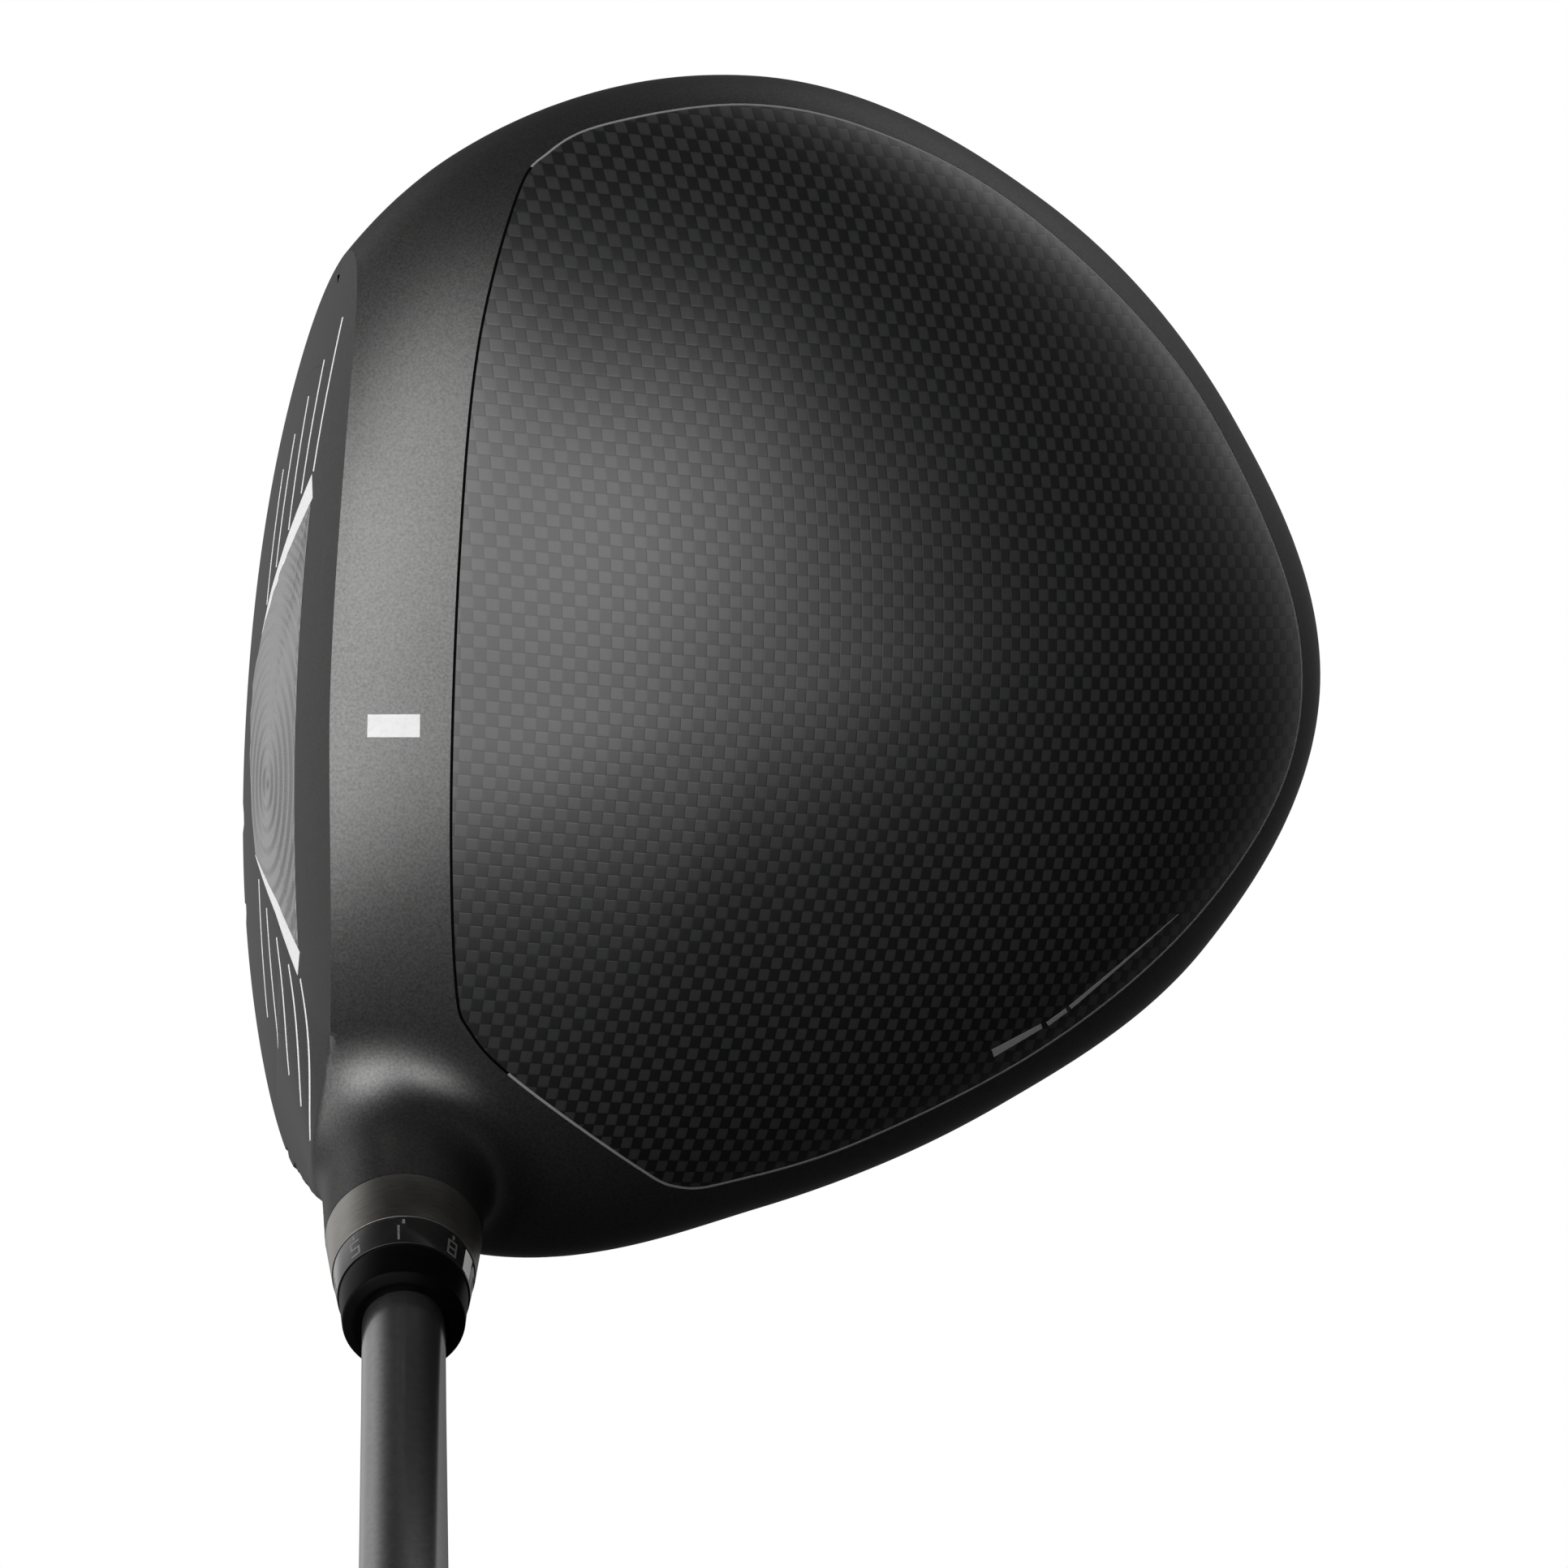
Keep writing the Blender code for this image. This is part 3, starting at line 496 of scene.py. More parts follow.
def snap_to_crease(points, reach):
    """Moves the points nearest the crease round the face onto it, so that it stays crisp."""
    points = points.copy()
    for turn in range(6):
        values = np.stack([hull_value(points), face_value(points)], axis=1)
        slopes = np.stack([head_gradient(points, value=hull_value),
                           head_gradient(points, value=face_value)], axis=1)
        square = slopes @ slopes.transpose(0, 2, 1)
        steps = np.linalg.solve(square, values[:, :, None])
        moves = (slopes.transpose(0, 2, 1) @ steps)[:, :, 0]
        if turn == 0:
            near = (np.linalg.norm(moves, axis=1) < reach) & (neck_value(points) > NECK_BLEND)
        points[near] -= moves[near]
    return points


def place_on_surface(mesh, depth):
    set_points(mesh, pull_to_surface(mesh_points(mesh), depth))


def remeshed(obj, voxel):
    remesh = obj.modifiers.new("remesh", "REMESH")
    remesh.mode = "VOXEL"
    remesh.voxel_size = voxel * MM
    mesh = baked_mesh(obj)
    obj.modifiers.clear()
    return mesh


def rough_head():
    """A closed mesh near the head's surface: a blob and the neck, remeshed."""
    bm = bmesh.new()
    bmesh.ops.create_icosphere(bm, subdivisions=5, radius=1.0)
    directions = np.array([vertex.co.normalized() for vertex in bm.verts])
    middle = np.array((HEAD_CENTRE[0], HEAD_CENTRE[1], 28.0))
    near, far = np.full(len(directions), 5.0), np.full(len(directions), 95.0)
    for _ in range(24):
        half = (near + far) / 2
        inside = head_value(middle + directions * half[:, None]) < 0
        near, far = np.where(inside, half, near), np.where(inside, far, half)
    for vertex, reach, direction in zip(bm.verts, near, directions):
        vertex.co = middle + direction * min(reach, 80.0)
    blob = add_object("blob", bm)
    neck = cylinder("neck", NECK_RADIUS + 0.6, -30.0, HOSEL_TOP + 6.0, HOSEL_FRAME)
    combine(blob, neck, "UNION")
    blob.data = remeshed(blob, ROUGH_VOXEL)
    return blob


def head_solid(rough, depth, name, voxel):
    """The head as one closed solid whose surface lies that deep under the outer one."""
    solid = copy_of(rough, name)
    place_on_surface(solid.data, depth)
    solid.data = remeshed(solid, voxel)
    place_on_surface(solid.data, depth)
    if depth == 0.0:
        set_points(solid.data, snap_to_crease(mesh_points(solid.data), SNAP_SHARE * voxel))
    return solid


def use_surface_normals(obj, depth_limit=0.08):
    """Shades the faces that lie on the head's outer surface with its exact normals."""
    mesh = obj.data
    mesh.shade_smooth()
    points = mesh_points(mesh)
    slope = np.linalg.norm(head_gradient(points), axis=1)
    on_surface = np.abs(head_value(points) / slope) < depth_limit
    corner_vertex = integers(mesh.loops, "vertex_index")
    face_size = integers(mesh.polygons, "loop_total")
    corner_face = np.repeat(np.arange(len(face_size)), face_size)
    centre = np.array([polygon.center for polygon in mesh.polygons]) / MM
    face_normal = np.array([polygon.normal for polygon in mesh.polygons])
    flat = face_normal[corner_face]
    corner = points[corner_vertex]
    by_crease = np.maximum(np.abs(hull_value(points)), np.abs(face_value(points))) < CREASE_REACH
    pull = np.where(by_crease, CORNER_PULL, 0.0)[corner_vertex, None]
    exact = surface_normals(corner + (centre[corner_face] - corner) * pull)
    same_way = (exact * flat).sum(1) > 0.8
    fits = on_surface[corner_vertex] & same_way
    whole = np.ones(len(face_size), bool)
    np.logical_and.at(whole, corner_face, fits)
    normals = np.where(whole[corner_face][:, None], exact, flat)
    mesh.normals_split_custom_set(normals.tolist())


# ---------------------------------------------------------------- material helpers

class Finish:
    """A Principled material and short ways to add nodes to it."""

    def __init__(self, name, **settings):
        self.material = bpy.data.materials.new(name)
        self.material.use_nodes = True
        self.tree = self.material.node_tree
        self.shader = self.tree.nodes["Principled BSDF"]
        for key, value in settings.items():
            socket = self.shader.inputs[key.replace("_", " ")]
            socket.default_value = value

    def node(self, kind, **settings):
        made = self.tree.nodes.new("ShaderNode" + kind)
        for key, value in settings.items():
            if hasattr(made, key):
                setattr(made, key, value)
            else:
                made.inputs[key.replace("_", " ")].default_value = value
        return made

    def link(self, source, target):
        self.tree.links.new(source, target)
        return source

    def math(self, operation, first, second=None, third=None):
        made = self.node("Math", operation=operation)
        for index, value in enumerate((first, second, third)):
            if value is None:
                continue
            if isinstance(value, (int, float)):
                made.inputs[index].default_value = value
            else:
                self.link(value, made.inputs[index])
        return made.outputs[0]

    def mix(self, share, first, second, kind="FLOAT"):
        made = self.node("Mix", data_type=kind)
        slots = {"FLOAT": (0, 2, 3, 0), "RGBA": (0, 6, 7, 2)}[kind]
        for index, value in zip(slots[:3], (share, first, second)):
            if isinstance(value, (int, float, tuple)):
                made.inputs[index].default_value = value
            else:
                self.link(value, made.inputs[index])
        return made.outputs[slots[3]]

    def multiply(self, first, second):
        made = self.node("Mix", data_type="RGBA", blend_type="MULTIPLY")
        made.inputs[0].default_value = 1.0
        self.link(first, made.inputs[6])
        self.link(second, made.inputs[7])
        return made.outputs[2]

    def ramp(self, source, stops):
        made = self.node("ValToRGB")
        elements = made.color_ramp.elements
        while len(elements) < len(stops):
            elements.new(0.5)
        for element, (position, colour) in zip(elements, stops):
            element.position = position
            element.color = colour if len(colour) == 4 else (*colour, 1.0)
        self.link(source, made.inputs[0])
        return made.outputs[0]

    def position(self, scale=(1000.0, 1000.0, 1000.0)):
        """Object coordinates in millimetres, or scaled per axis."""
        coords = self.node("TexCoord")
        mapping = self.node("Mapping")
        mapping.inputs["Scale"].default_value = scale
        self.link(coords.outputs["Object"], mapping.inputs["Vector"])
        return mapping.outputs[0]

    def noise(self, vector, scale, detail=2.0, roughness=0.5):
        made = self.node("TexNoise")
        made.inputs["Scale"].default_value = scale
        made.inputs["Detail"].default_value = detail
        made.inputs["Roughness"].default_value = roughness
        self.link(vector, made.inputs["Vector"])
        return made.outputs["Fac"]

    def bump(self, height, strength, distance, target="Normal"):
        made = self.node("Bump")
        made.inputs["Strength"].default_value = strength
        made.inputs["Distance"].default_value = distance * MM
        self.link(height, made.inputs["Height"])
        self.link(made.outputs[0], self.shader.inputs[target])
        return made

    def colour(self, source):
        self.link(source, self.shader.inputs["Base Color"])

    def tones(self, source, dark, light, tint=(1.0, 1.0, 1.0), top=0.7):
        """Base colour between two greys, following a noise."""
        self.colour(self.ramp(source, ((0.3, grey(dark, tint)), (top, grey(light, tint)))))

    def roughness(self, source):
        self.link(source, self.shader.inputs["Roughness"])

    def uneven(self, source, spread, least):
        """Roughness that rises from the least with a noise."""
        self.roughness(self.math("ADD", self.math("MULTIPLY", source, spread), least))


def grey(level, tint=(1.0, 1.0, 1.0)):
    return (level * tint[0], level * tint[1], level * tint[2], 1.0)


def painted_titanium():
    """Dark graphite paint with fine metal flake and slight orange peel."""
    f = Finish("graphite_paint", Metallic=0.85, Roughness=0.3, Coat_Weight=0.1, Coat_Roughness=0.2)
    f.shader.inputs["Specular Tint"].default_value = grey(0.35)
    place = f.position()
    flake = f.noise(place, 3.5, 2.0)
    cloud = f.noise(place, 0.05, 2.0)
    base = f.ramp(flake, ((0.3, grey(0.088, (1.0, 1.0, 0.99))), (0.7, grey(0.142, (1.0, 1.0, 0.99)))))
    f.colour(f.mix(f.math("MULTIPLY", cloud, 0.2), base, grey(0.105), "RGBA"))
    f.uneven(flake, 0.08, 0.26)
    f.bump(f.math("ADD", flake, f.noise(place, 1.2, 2.0)), 0.08, 0.03)
    return f.material


def carbon_weave():
    """Plain-weave carbon under a satin clear coat, laid along the panel's own weave coordinates.

    Even cells are tows that run along Y and odd ones tows that run along X. Each tow is crowned
    across, dives under its neighbours at both ends, and shows fine fibre lines along its run.
    The odd cells are painted darker than the even ones: a painted sheen that stands for how the two
    fibre directions catch the light. Each tow's colour also dims towards its sides and goes to black
    where it dives: painted shade.
    """
    f = Finish("carbon_weave", Roughness=0.32, Coat_Weight=1.0, Coat_Roughness=0.22)
    uv = f.node("UVMap", uv_map="weave")
    split = f.node("SeparateXYZ")
    f.link(uv.outputs[0], split.inputs[0])
    cells = f.math("ADD", f.math("FLOOR", split.outputs[0]), f.math("FLOOR", split.outputs[1]))
    odd = f.math("ABSOLUTE", f.math("MODULO", cells, 2.0))
    sides = [f.math("MULTIPLY", f.math("ABSOLUTE", f.math("SUBTRACT", f.math("FRACT", axis), 0.5)), 2.0)
             for axis in split.outputs[:2]]
    tows = []
    for across, along in (sides, sides[::-1]):
        crown = f.math("MULTIPLY", f.math("POWER", across, 5.0), 0.3)
        dive = f.math("MULTIPLY", f.math("POWER", along, 11.0), 0.85)
        tows.append(f.math("SUBTRACT", f.math("SUBTRACT", 1.0, crown), dive))
    height = f.mix(odd, *tows)
    fibres = []
    for scale in ((30.0, 1.2, 1.0), (1.2, 30.0, 1.0)):
        mapping = f.node("Mapping")
        mapping.inputs["Scale"].default_value = scale
        f.link(uv.outputs[0], mapping.inputs["Vector"])
        fibres.append(f.noise(mapping.outputs[0], 1.0, 2.0))
    fibre = f.mix(odd, *fibres)
    # Odd cells darker than even ones: a painted sheen difference between the two fibre directions
    painted_sheen_tone = f.mix(odd, grey(0.04, (0.98, 1.0, 1.0)), grey(0.01, (0.98, 1.0, 1.0)), "RGBA")
    # Colour dims at each tow's sides and goes to black where it dives under its neighbour: painted shade
    # between the tows
    depth = f.ramp(height, ((0.0, grey(0.0)), (0.55, grey(0.75)), (1.0, grey(1.0))))
    streaks = f.ramp(fibre, ((0.3, grey(0.75)), (0.7, grey(1.1))))
    f.colour(f.multiply(f.multiply(painted_sheen_tone, depth), streaks))
    f.roughness(f.mix(odd, 0.3, 0.38))
    f.bump(f.math("ADD", height, f.math("MULTIPLY", fibre, 0.12)), 0.3, 0.06)
    coat = f.node("Bump")
    coat.inputs["Strength"].default_value = 0.08
    coat.inputs["Distance"].default_value = 0.05 * MM
    f.link(height, coat.inputs["Height"])
    f.link(coat.outputs[0], f.shader.inputs["Coat Normal"])
    return f.material


def blasted_titanium(name, dark, light, roughness, metallic=0.85):
    """Face metal: dark and blasted, or bright where it is milled."""
    f = Finish(name, Metallic=metallic, Roughness=roughness)
    grain = f.noise(f.position(), 6.0, 3.0)
    f.tones(grain, dark, light)
    f.uneven(grain, 0.1, roughness - 0.05)
    f.bump(grain, 0.15, 0.03)
    return f.material


def brushed_metal(name, level, tint, roughness=0.3, stretch=(2.0, 2.0, 60.0)):
    """Metal with fine lines around the piece's own axis."""
    f = Finish(name, Metallic=1.0, Roughness=roughness, Anisotropic=0.6)
    lines = f.noise(f.position(tuple(1000.0 * s for s in stretch)), 0.25, 3.0)
    f.tones(lines, level * 0.8, level * 1.15, tint)
    f.uneven(lines, 0.22, roughness - 0.1)
    f.bump(lines, 0.15, 0.02)
    return f.material


def dark_gloss(name, level, roughness, coat=0.0, bump=0.02, shine=0.5):
    """Smooth dark finish with faint polishing marks."""
    f = Finish(name, Specular_IOR_Level=shine, Roughness=roughness, Coat_Weight=coat, Coat_Roughness=0.08)
    place = f.position()
    haze = f.noise(place, 0.35, 3.0)
    f.tones(haze, level * 0.8, level * 1.25, top=0.75)
    f.uneven(haze, 0.12, roughness - 0.05)
    f.bump(f.noise(place, 3.0, 2.0), bump, 0.03)
    return f.material


def satin_graphite():
    """Grey lacquered shaft: a metallic tint in the lacquer, fine grinding rings round it."""
    f = Finish("satin_shaft", Metallic=0.9, Roughness=0.24, Coat_Weight=0.5, Coat_Roughness=0.12)
    lines = f.noise(f.position((300.0, 1000.0, 1000.0)), 2.0, 3.0)
    f.tones(lines, 0.22, 0.28, (1.0, 0.98, 1.0))
    f.uneven(lines, 0.08, 0.2)
    f.bump(lines, 0.06, 0.02)
    return f.material


def rubber(name, level=0.022):
    """Moulded rubber with a fine pebble grain."""
    f = Finish(name, Roughness=0.75)
    place = f.position()
    grain = f.noise(place, 4.0, 4.0, 0.6)
    f.tones(grain, level * 0.7, level * 1.4)
    f.uneven(grain, 0.25, 0.6)
    f.bump(grain, 0.4, 0.08)
    return f.material


def print_ink(name, level, glow=0.0):
    """Pad-printed ink, slightly uneven; where a glow is given, the ink glows as a painted highlight, brighter
    than the lights alone make it.
    """
    f = Finish(name, Roughness=0.45, Emission_Strength=glow)
    cover = f.noise(f.position(), 2.5, 3.0)
    f.tones(cover, level * 0.85, level)
    f.bump(cover, 0.1, 0.02)
    return f.material


def paper_tape():
    f = Finish("tape_paper", Roughness=0.8)
    weave = f.noise(f.position((1000.0, 1000.0, 250.0)), 1.5, 4.0)
    f.colour(f.ramp(weave, ((0.3, grey(0.42, (1.0, 0.9, 0.7))), (0.7, grey(0.6, (1.0, 0.92, 0.75))))))
    f.bump(weave, 0.3, 0.1)
    return f.material


# ---------------------------------------------------------------- head

def draped(terms, x, y):
    return WEAVE_START + sum(cells * x**across * y**along for cells, across, along in terms)


def add_weave_map(obj):
    """Lays weave coordinates over a panel, in cells, like a cloth draped from the head's middle."""
    mesh = obj.data
    x, y = (mesh_points(mesh)[:, :2] - HEAD_CENTRE).T
    cells = np.stack((draped(WEAVE_COLUMNS, x, y), draped(WEAVE_ROWS, x, y)), axis=1)
    corners = cells[integers(mesh.loops, "vertex_index")]
    mesh.uv_layers.new(name="weave").data.foreach_set("uv", corners.ravel())


def surface_height(x, y, up):
    """Height of the outer surface over (x, y), on the crown with up = 1 and on the sole with -1."""
    inside, outside = RIM_HEIGHT, (80.0 if up > 0 else -10.0)
    for _ in range(30):
        half = (inside + outside) / 2
        within = head_value(np.array([[x, y, half]]))[0] < 0
        inside, outside = (half, outside) if within else (inside, half)
    return inside


def panel(solids, name, outline, bottom, top, material, node):
    skin = prism(name, smooth_loop(inset_loop(outline, GAP)), bottom, top)
    combine(skin, solids["outer"], "INTERSECT", keep_tool=True)
    combine(skin, solids["panel"], "DIFFERENCE", keep_tool=True)
    add_weave_map(skin)
    place_piece(skin, "head", material, (node,), sharp_angle=0.0)
    use_surface_normals(skin)
    return skin


def cut_panel_seat(body, solids, outline, bottom, top):
    recess = prism("recess", smooth_loop(outline), bottom, top)
    combine(recess, solids["ledge"], "DIFFERENCE", keep_tool=True)
    combine(body, recess, "DIFFERENCE")
    opening = prism("opening", smooth_loop(inset_loop(outline, LEDGE_WIDTH)), bottom, top)
    combine(body, opening, "DIFFERENCE")


WEIGHTS = {"rear_weight": (8.5, 6.0, 4.5, 7.0), "front_weight": (6.5, 5.0, 3.5, 6.0)}


def weight_boss(body, solids, name):
    head_radius, head_height, _, stem_length = WEIGHTS[name]
    bottom = -head_height - 1.2 - stem_length
    boss = cylinder("boss", head_radius + 2.2, bottom, 6.0, joint_frame(name + "_turn"))
    combine(boss, solids["boss"], "INTERSECT", keep_tool=True)
    combine(body, boss, "UNION")


def cut_weight_seat(body, name):
    head_radius, head_height, stem_radius, _ = WEIGHTS[name]
    floor = -head_height - 2.2
    place = joint_frame(name + "_turn")
    combine(body, cylinder("recess", head_radius + 0.4, floor, 12.0, place), "DIFFERENCE")
    combine(body, cylinder("thread", stem_radius + GAP, floor - 12.0, 1.0, place), "DIFFERENCE")


def make_head(finishes):
    rough = rough_head()
    solids = {}
    for key, depth, voxel in (("outer", 0.0, VOXEL), ("boss", BOSS_DEPTH, ROUGH_VOXEL), ("panel", PANEL, 1.5),
                              ("ledge", LEDGE_DEPTH, 1.5), ("inner", WALL, 2.5),
                              ("face", FACE_THICKNESS, 2.5)):
        solids[key] = head_solid(rough, depth, "solid_" + key, voxel)
    bpy.data.objects.remove(rough, do_unlink=True)
    for key, top in (("outer", 0.0), ("boss", BOSS_DEPTH)):
        ground = prism("ground", ((-60, -90), (110, -90), (110, 90), (-60, 90)), -20.0, top)
        combine(solids[key], ground, "DIFFERENCE")
    combine(solids["outer"], cylinder("top_cut", 30.0, HOSEL_TOP, 40.0, HOSEL_FRAME), "DIFFERENCE")

    body = copy_of(solids["outer"], "head_body_shell")
    combine(body, solids["inner"], "DIFFERENCE", keep_tool=True)
    tube = cylinder("tube", 8.6, -90.0, HOSEL_TOP - 0.4, HOSEL_FRAME)
    combine(tube, solids["boss"], "INTERSECT", keep_tool=True)
    combine(body, tube, "UNION")
    for name in WEIGHTS:
        weight_boss(body, solids, name)
    for name in WEIGHTS:
        cut_weight_seat(body, name)
    for radius, bottom, top in HOSEL_BORES:
        combine(body, cylinder("bore", radius, bottom, top, HOSEL_FRAME), "DIFFERENCE")
    for outline, reach in ((CROWN_SEAM, CROWN_REACH), (TOE_PANEL, SOLE_REACH), (HEEL_PANEL, SOLE_REACH)):
        cut_panel_seat(body, solids, outline, *reach)
    combine(body, prism("window", face_outline(0.02), -60.0, INSERT_BACK + 0.5, FACE_VIEW), "DIFFERENCE")
    place_piece(body, "head", finishes["paint"], ("head_body",), sharp_angle=0.0)
    use_surface_normals(body)

    insert = prism("face_plate", face_outline(0.0), -60.0, INSERT_BACK, FACE_VIEW)
    combine(insert, solids["outer"], "INTERSECT", keep_tool=True)
    combine(insert, solids["face"], "DIFFERENCE", keep_tool=True)
    insert.data.transform(insert.matrix_world)
    insert.matrix_world = Matrix.Identity(4)
    place_piece(insert, "head", finishes["paint"], ("face_insert",), sharp_angle=0.0)
    use_surface_normals(insert)
    for name, outline, reach, node in (("crown_skin", CROWN_SEAM, CROWN_REACH, "crown_panel"),
                                       ("sole_skin_toe", TOE_PANEL, SOLE_REACH, "sole_panel_toe"),
                                       ("sole_skin_heel", HEEL_PANEL, SOLE_REACH, "sole_panel_heel")):
        panel(solids, name, outline, *reach, finishes["carbon"], node)
    for solid in solids.values():
        bpy.data.objects.remove(solid, do_unlink=True)


def surface_strip(name, paths, widths, top, bottom):
    """Closed flat bars laid along paths on the head's surface, from depth bottom to height top."""
    bm = bmesh.new()
    for path, width in zip(paths, widths):
        points = np.array(path)
        normals = surface_normals(points)
        side = np.cross(normals, np.gradient(points, axis=0))
        side /= np.linalg.norm(side, axis=1, keepdims=True)
        corners = ((0.5, top), (0.5, bottom), (-0.5, bottom), (-0.5, top))
        rings = []
        for point, normal, across, broad in zip(points, normals, side, np.broadcast_to(width, len(points))):
            rings.append([bm.verts.new(point + across * broad * w + normal * h) for w, h in corners])
        join_rings(bm, rings)
        bm.faces.new(rings[0])
        bm.faces.new(list(reversed(rings[-1])))
    bmesh.ops.recalc_face_normals(bm, faces=bm.faces)
    return add_object(name, bm)


def on_crown(points):
    """Surface points over (x, y) points."""
    return np.array([(x, y, surface_height(x, y, 1)) for x, y in points])


def make_seam(finishes):
    """Strips in the gap round the crown panel: a black painted shadow along the front, and a light grey
    painted highlight of the paint edge round the rest.
    """
    loop = smooth_loop(inset_loop(CROWN_SEAM, 0.15), per_span=10)
    front = [point for point in loop if point[0] < -1.0 and -37.0 < point[1] < 60.0]
    start = loop.index(front[0])
    count = len(front)
    rest = [loop[(start + count - 1 + k) % len(loop)] for k in range(len(loop) - count + 2)]
    for name, part, finish in (("seam_front_painted_shadow", front, "painted_gap_shadow"), ("seam_rim_painted_highlight", rest, "painted_seam_highlight")):
        strip = surface_strip(name, [on_crown(part)], [0.3], 0.02, -0.9)
        place_piece(strip, "head", finishes[finish])


def face_points(pairs):
    """Points on the face over (y, z) pairs."""
    starts = np.array([(0.0, y, z) for y, z in pairs], float)
    return drop_to_surface(starts, 60.0, (1.0, 0.0, 0.0))


def along_line(start, end, steps=10):
    return [tuple(np.array(start) + (np.array(end) - np.array(start)) * k / steps) for k in range(steps + 1)]


TOE_SCORES = (((43.9, 39.8), (27.4, 39.3)), ((39.6, 35.2), (25.2, 35.0)), ((35.9, 30.6), (21.4, 30.9)),
              ((32.0, 26.5), (17.5, 26.2)), ((28.3, 22.6), (13.5, 22.6)))
HEEL_SCORES = (((-26.9, 41.7), (-43.9, 47.6)), ((-25.5, 36.8), (-40.5, 42.5)), ((-22.7, 31.6), (-37.4, 36.0)),
               ((-19.6, 26.8), (-34.8, 28.0)), ((-16.5, 22.6), (-31.6, 22.6)))
WEDGES = (((25.8, 39.8, 3.2), (20.0, 31.8, 2.2), (14.6, 25.2, 1.4), (10.3, 21.0, 0.1)),
          ((-25.3, 41.5, 3.0), (-19.4, 32.4, 1.7), (-13.9, 20.8, 0.1)))
MILLED_ZONE = ((24.1, 40.2), (12.2, 41.2), (1.1, 41.8), (-10.7, 42.0), (-23.7, 41.8), (-18.5, 32.6),
               (-13.9, 20.8), (-9.1, 18.4), (-4.8, 17.3), (0.0, 16.5), (5.0, 16.8), (10.3, 21.0),
               (16.8, 28.6))
MILLING_MIDDLE = (-6.0, 28.7)
MILLING_PITCH = 2.3
MILLING_DEPTH = 0.17


def make_face_marks(finishes):
    """White inlaid score lines and the two wedge bars of the face."""
    lines = TOE_SCORES + HEEL_SCORES
    paths = [face_points(along_line(*line)) for line in lines]
    marks = surface_strip("score_lines", paths, [0.5] * len(paths), 0.015, -0.25)
    place_piece(marks, "head", finishes["white_painted_glow"])
    bars, widths = [], []
    for wedge in WEDGES:
        y, z, width = np.array(wedge).T
        share = np.linspace(0, len(wedge) - 1, 24)
        spans = np.arange(len(wedge))
        bars.append(face_points(zip(np.interp(share, spans, y), np.interp(share, spans, z))))
        widths.append(np.interp(share, spans, width))
    wedges = surface_strip("face_wedges", bars, widths, 0.03, -0.25)
    place_piece(wedges, "head", finishes["white_painted_glow"])


def outline_reach(outline, middle, angles):
    """Distance from the middle to the outline in each direction."""
    corners = np.array(outline) - np.array(middle)
    reach = np.full(len(angles), 1e9)
    for start, end in zip(corners, np.roll(corners, -1, axis=0)):
        run = end - start
        for index, angle in enumerate(angles):
            away = np.array((math.cos(angle), math.sin(angle)))
            across = away[0] * run[1] - away[1] * run[0]
            if abs(across) < 1e-9:
                continue
            distance = (start[0] * run[1] - start[1] * run[0]) / across
            share = (start[0] * away[1] - start[1] * away[0]) / across
            if 0.0 <= share <= 1.0 and distance > 0.0:
                reach[index] = min(reach[index], distance)
    return reach


def make_milled_zone(finishes):
    """The bright middle of the face, with rings milled round the sweet spot."""
    angles = np.linspace(0.0, 2 * np.pi, 360, endpoint=False)
    around = np.stack((np.cos(angles), np.sin(angles)), axis=1)
    edge = outline_reach(MILLED_ZONE, MILLING_MIDDLE, angles)
    rows = 110
    bm = bmesh.new()
    rings = []
    for row in range(1, rows + 1):
        reach = edge * row / rows
        points = face_points(np.array(MILLING_MIDDLE) + reach[:, None] * around)
        fade = np.minimum((edge - reach) / 0.6, 1.0)
        height = 0.01 + fade * MILLING_DEPTH * (0.5 + 0.5 * np.cos(2 * np.pi * reach / MILLING_PITCH))
        points = points + surface_normals(points) * height[:, None]
        rings.append([bm.verts.new(point) for point in points])
    middle = face_points([MILLING_MIDDLE])
    normal = surface_normals(middle)
    rings.insert(0, [bm.verts.new((middle + normal * (0.02 + MILLING_DEPTH))[0])] * len(angles))
    under = face_points(np.array(MILLING_MIDDLE) + edge[:, None] * around)
    rings.append([bm.verts.new(point) for point in under - surface_normals(under) * 0.3])
    rings.append([bm.verts.new((middle - normal * 0.6)[0])] * len(angles))
    join_rings(bm, rings)
    bmesh.ops.recalc_face_normals(bm, faces=bm.faces)
    zone = add_object("milled_zone", bm)
    place_piece(zone, "head", finishes["milled"], sharp_angle=40.0)


def make_crown_marks(finishes):
    """A small alignment mark over the middle of the face, and the stripe near the heel of the crown."""
    path = on_crown(along_line((-18.5, 0.0), (-13.0, 0.0)))
    mark = surface_strip("alignment_mark", [path], [2.4], 0.02, -0.3)
    place_piece(mark, "head", finishes["white_painted_glow"])
    spans = (((48.4, -35.0), (53.7, -32.1), 1.3, 0.8), ((54.35, -31.9), (56.4, -30.4), 0.75, 0.7),
             ((56.8, -30.1), (68.7, -20.1), 0.7, 0.08))
    paths, widths = [], []
    for start, end, first, last in spans:
        paths.append(on_crown(along_line(start, end)))
        widths.append(np.linspace(first, last, 11))
    stripe = surface_strip("crown_stripe", paths, widths, 0.015, -0.3)
    place_piece(stripe, "head", finishes["stripe"])


# ---------------------------------------------------------------- weights and screw

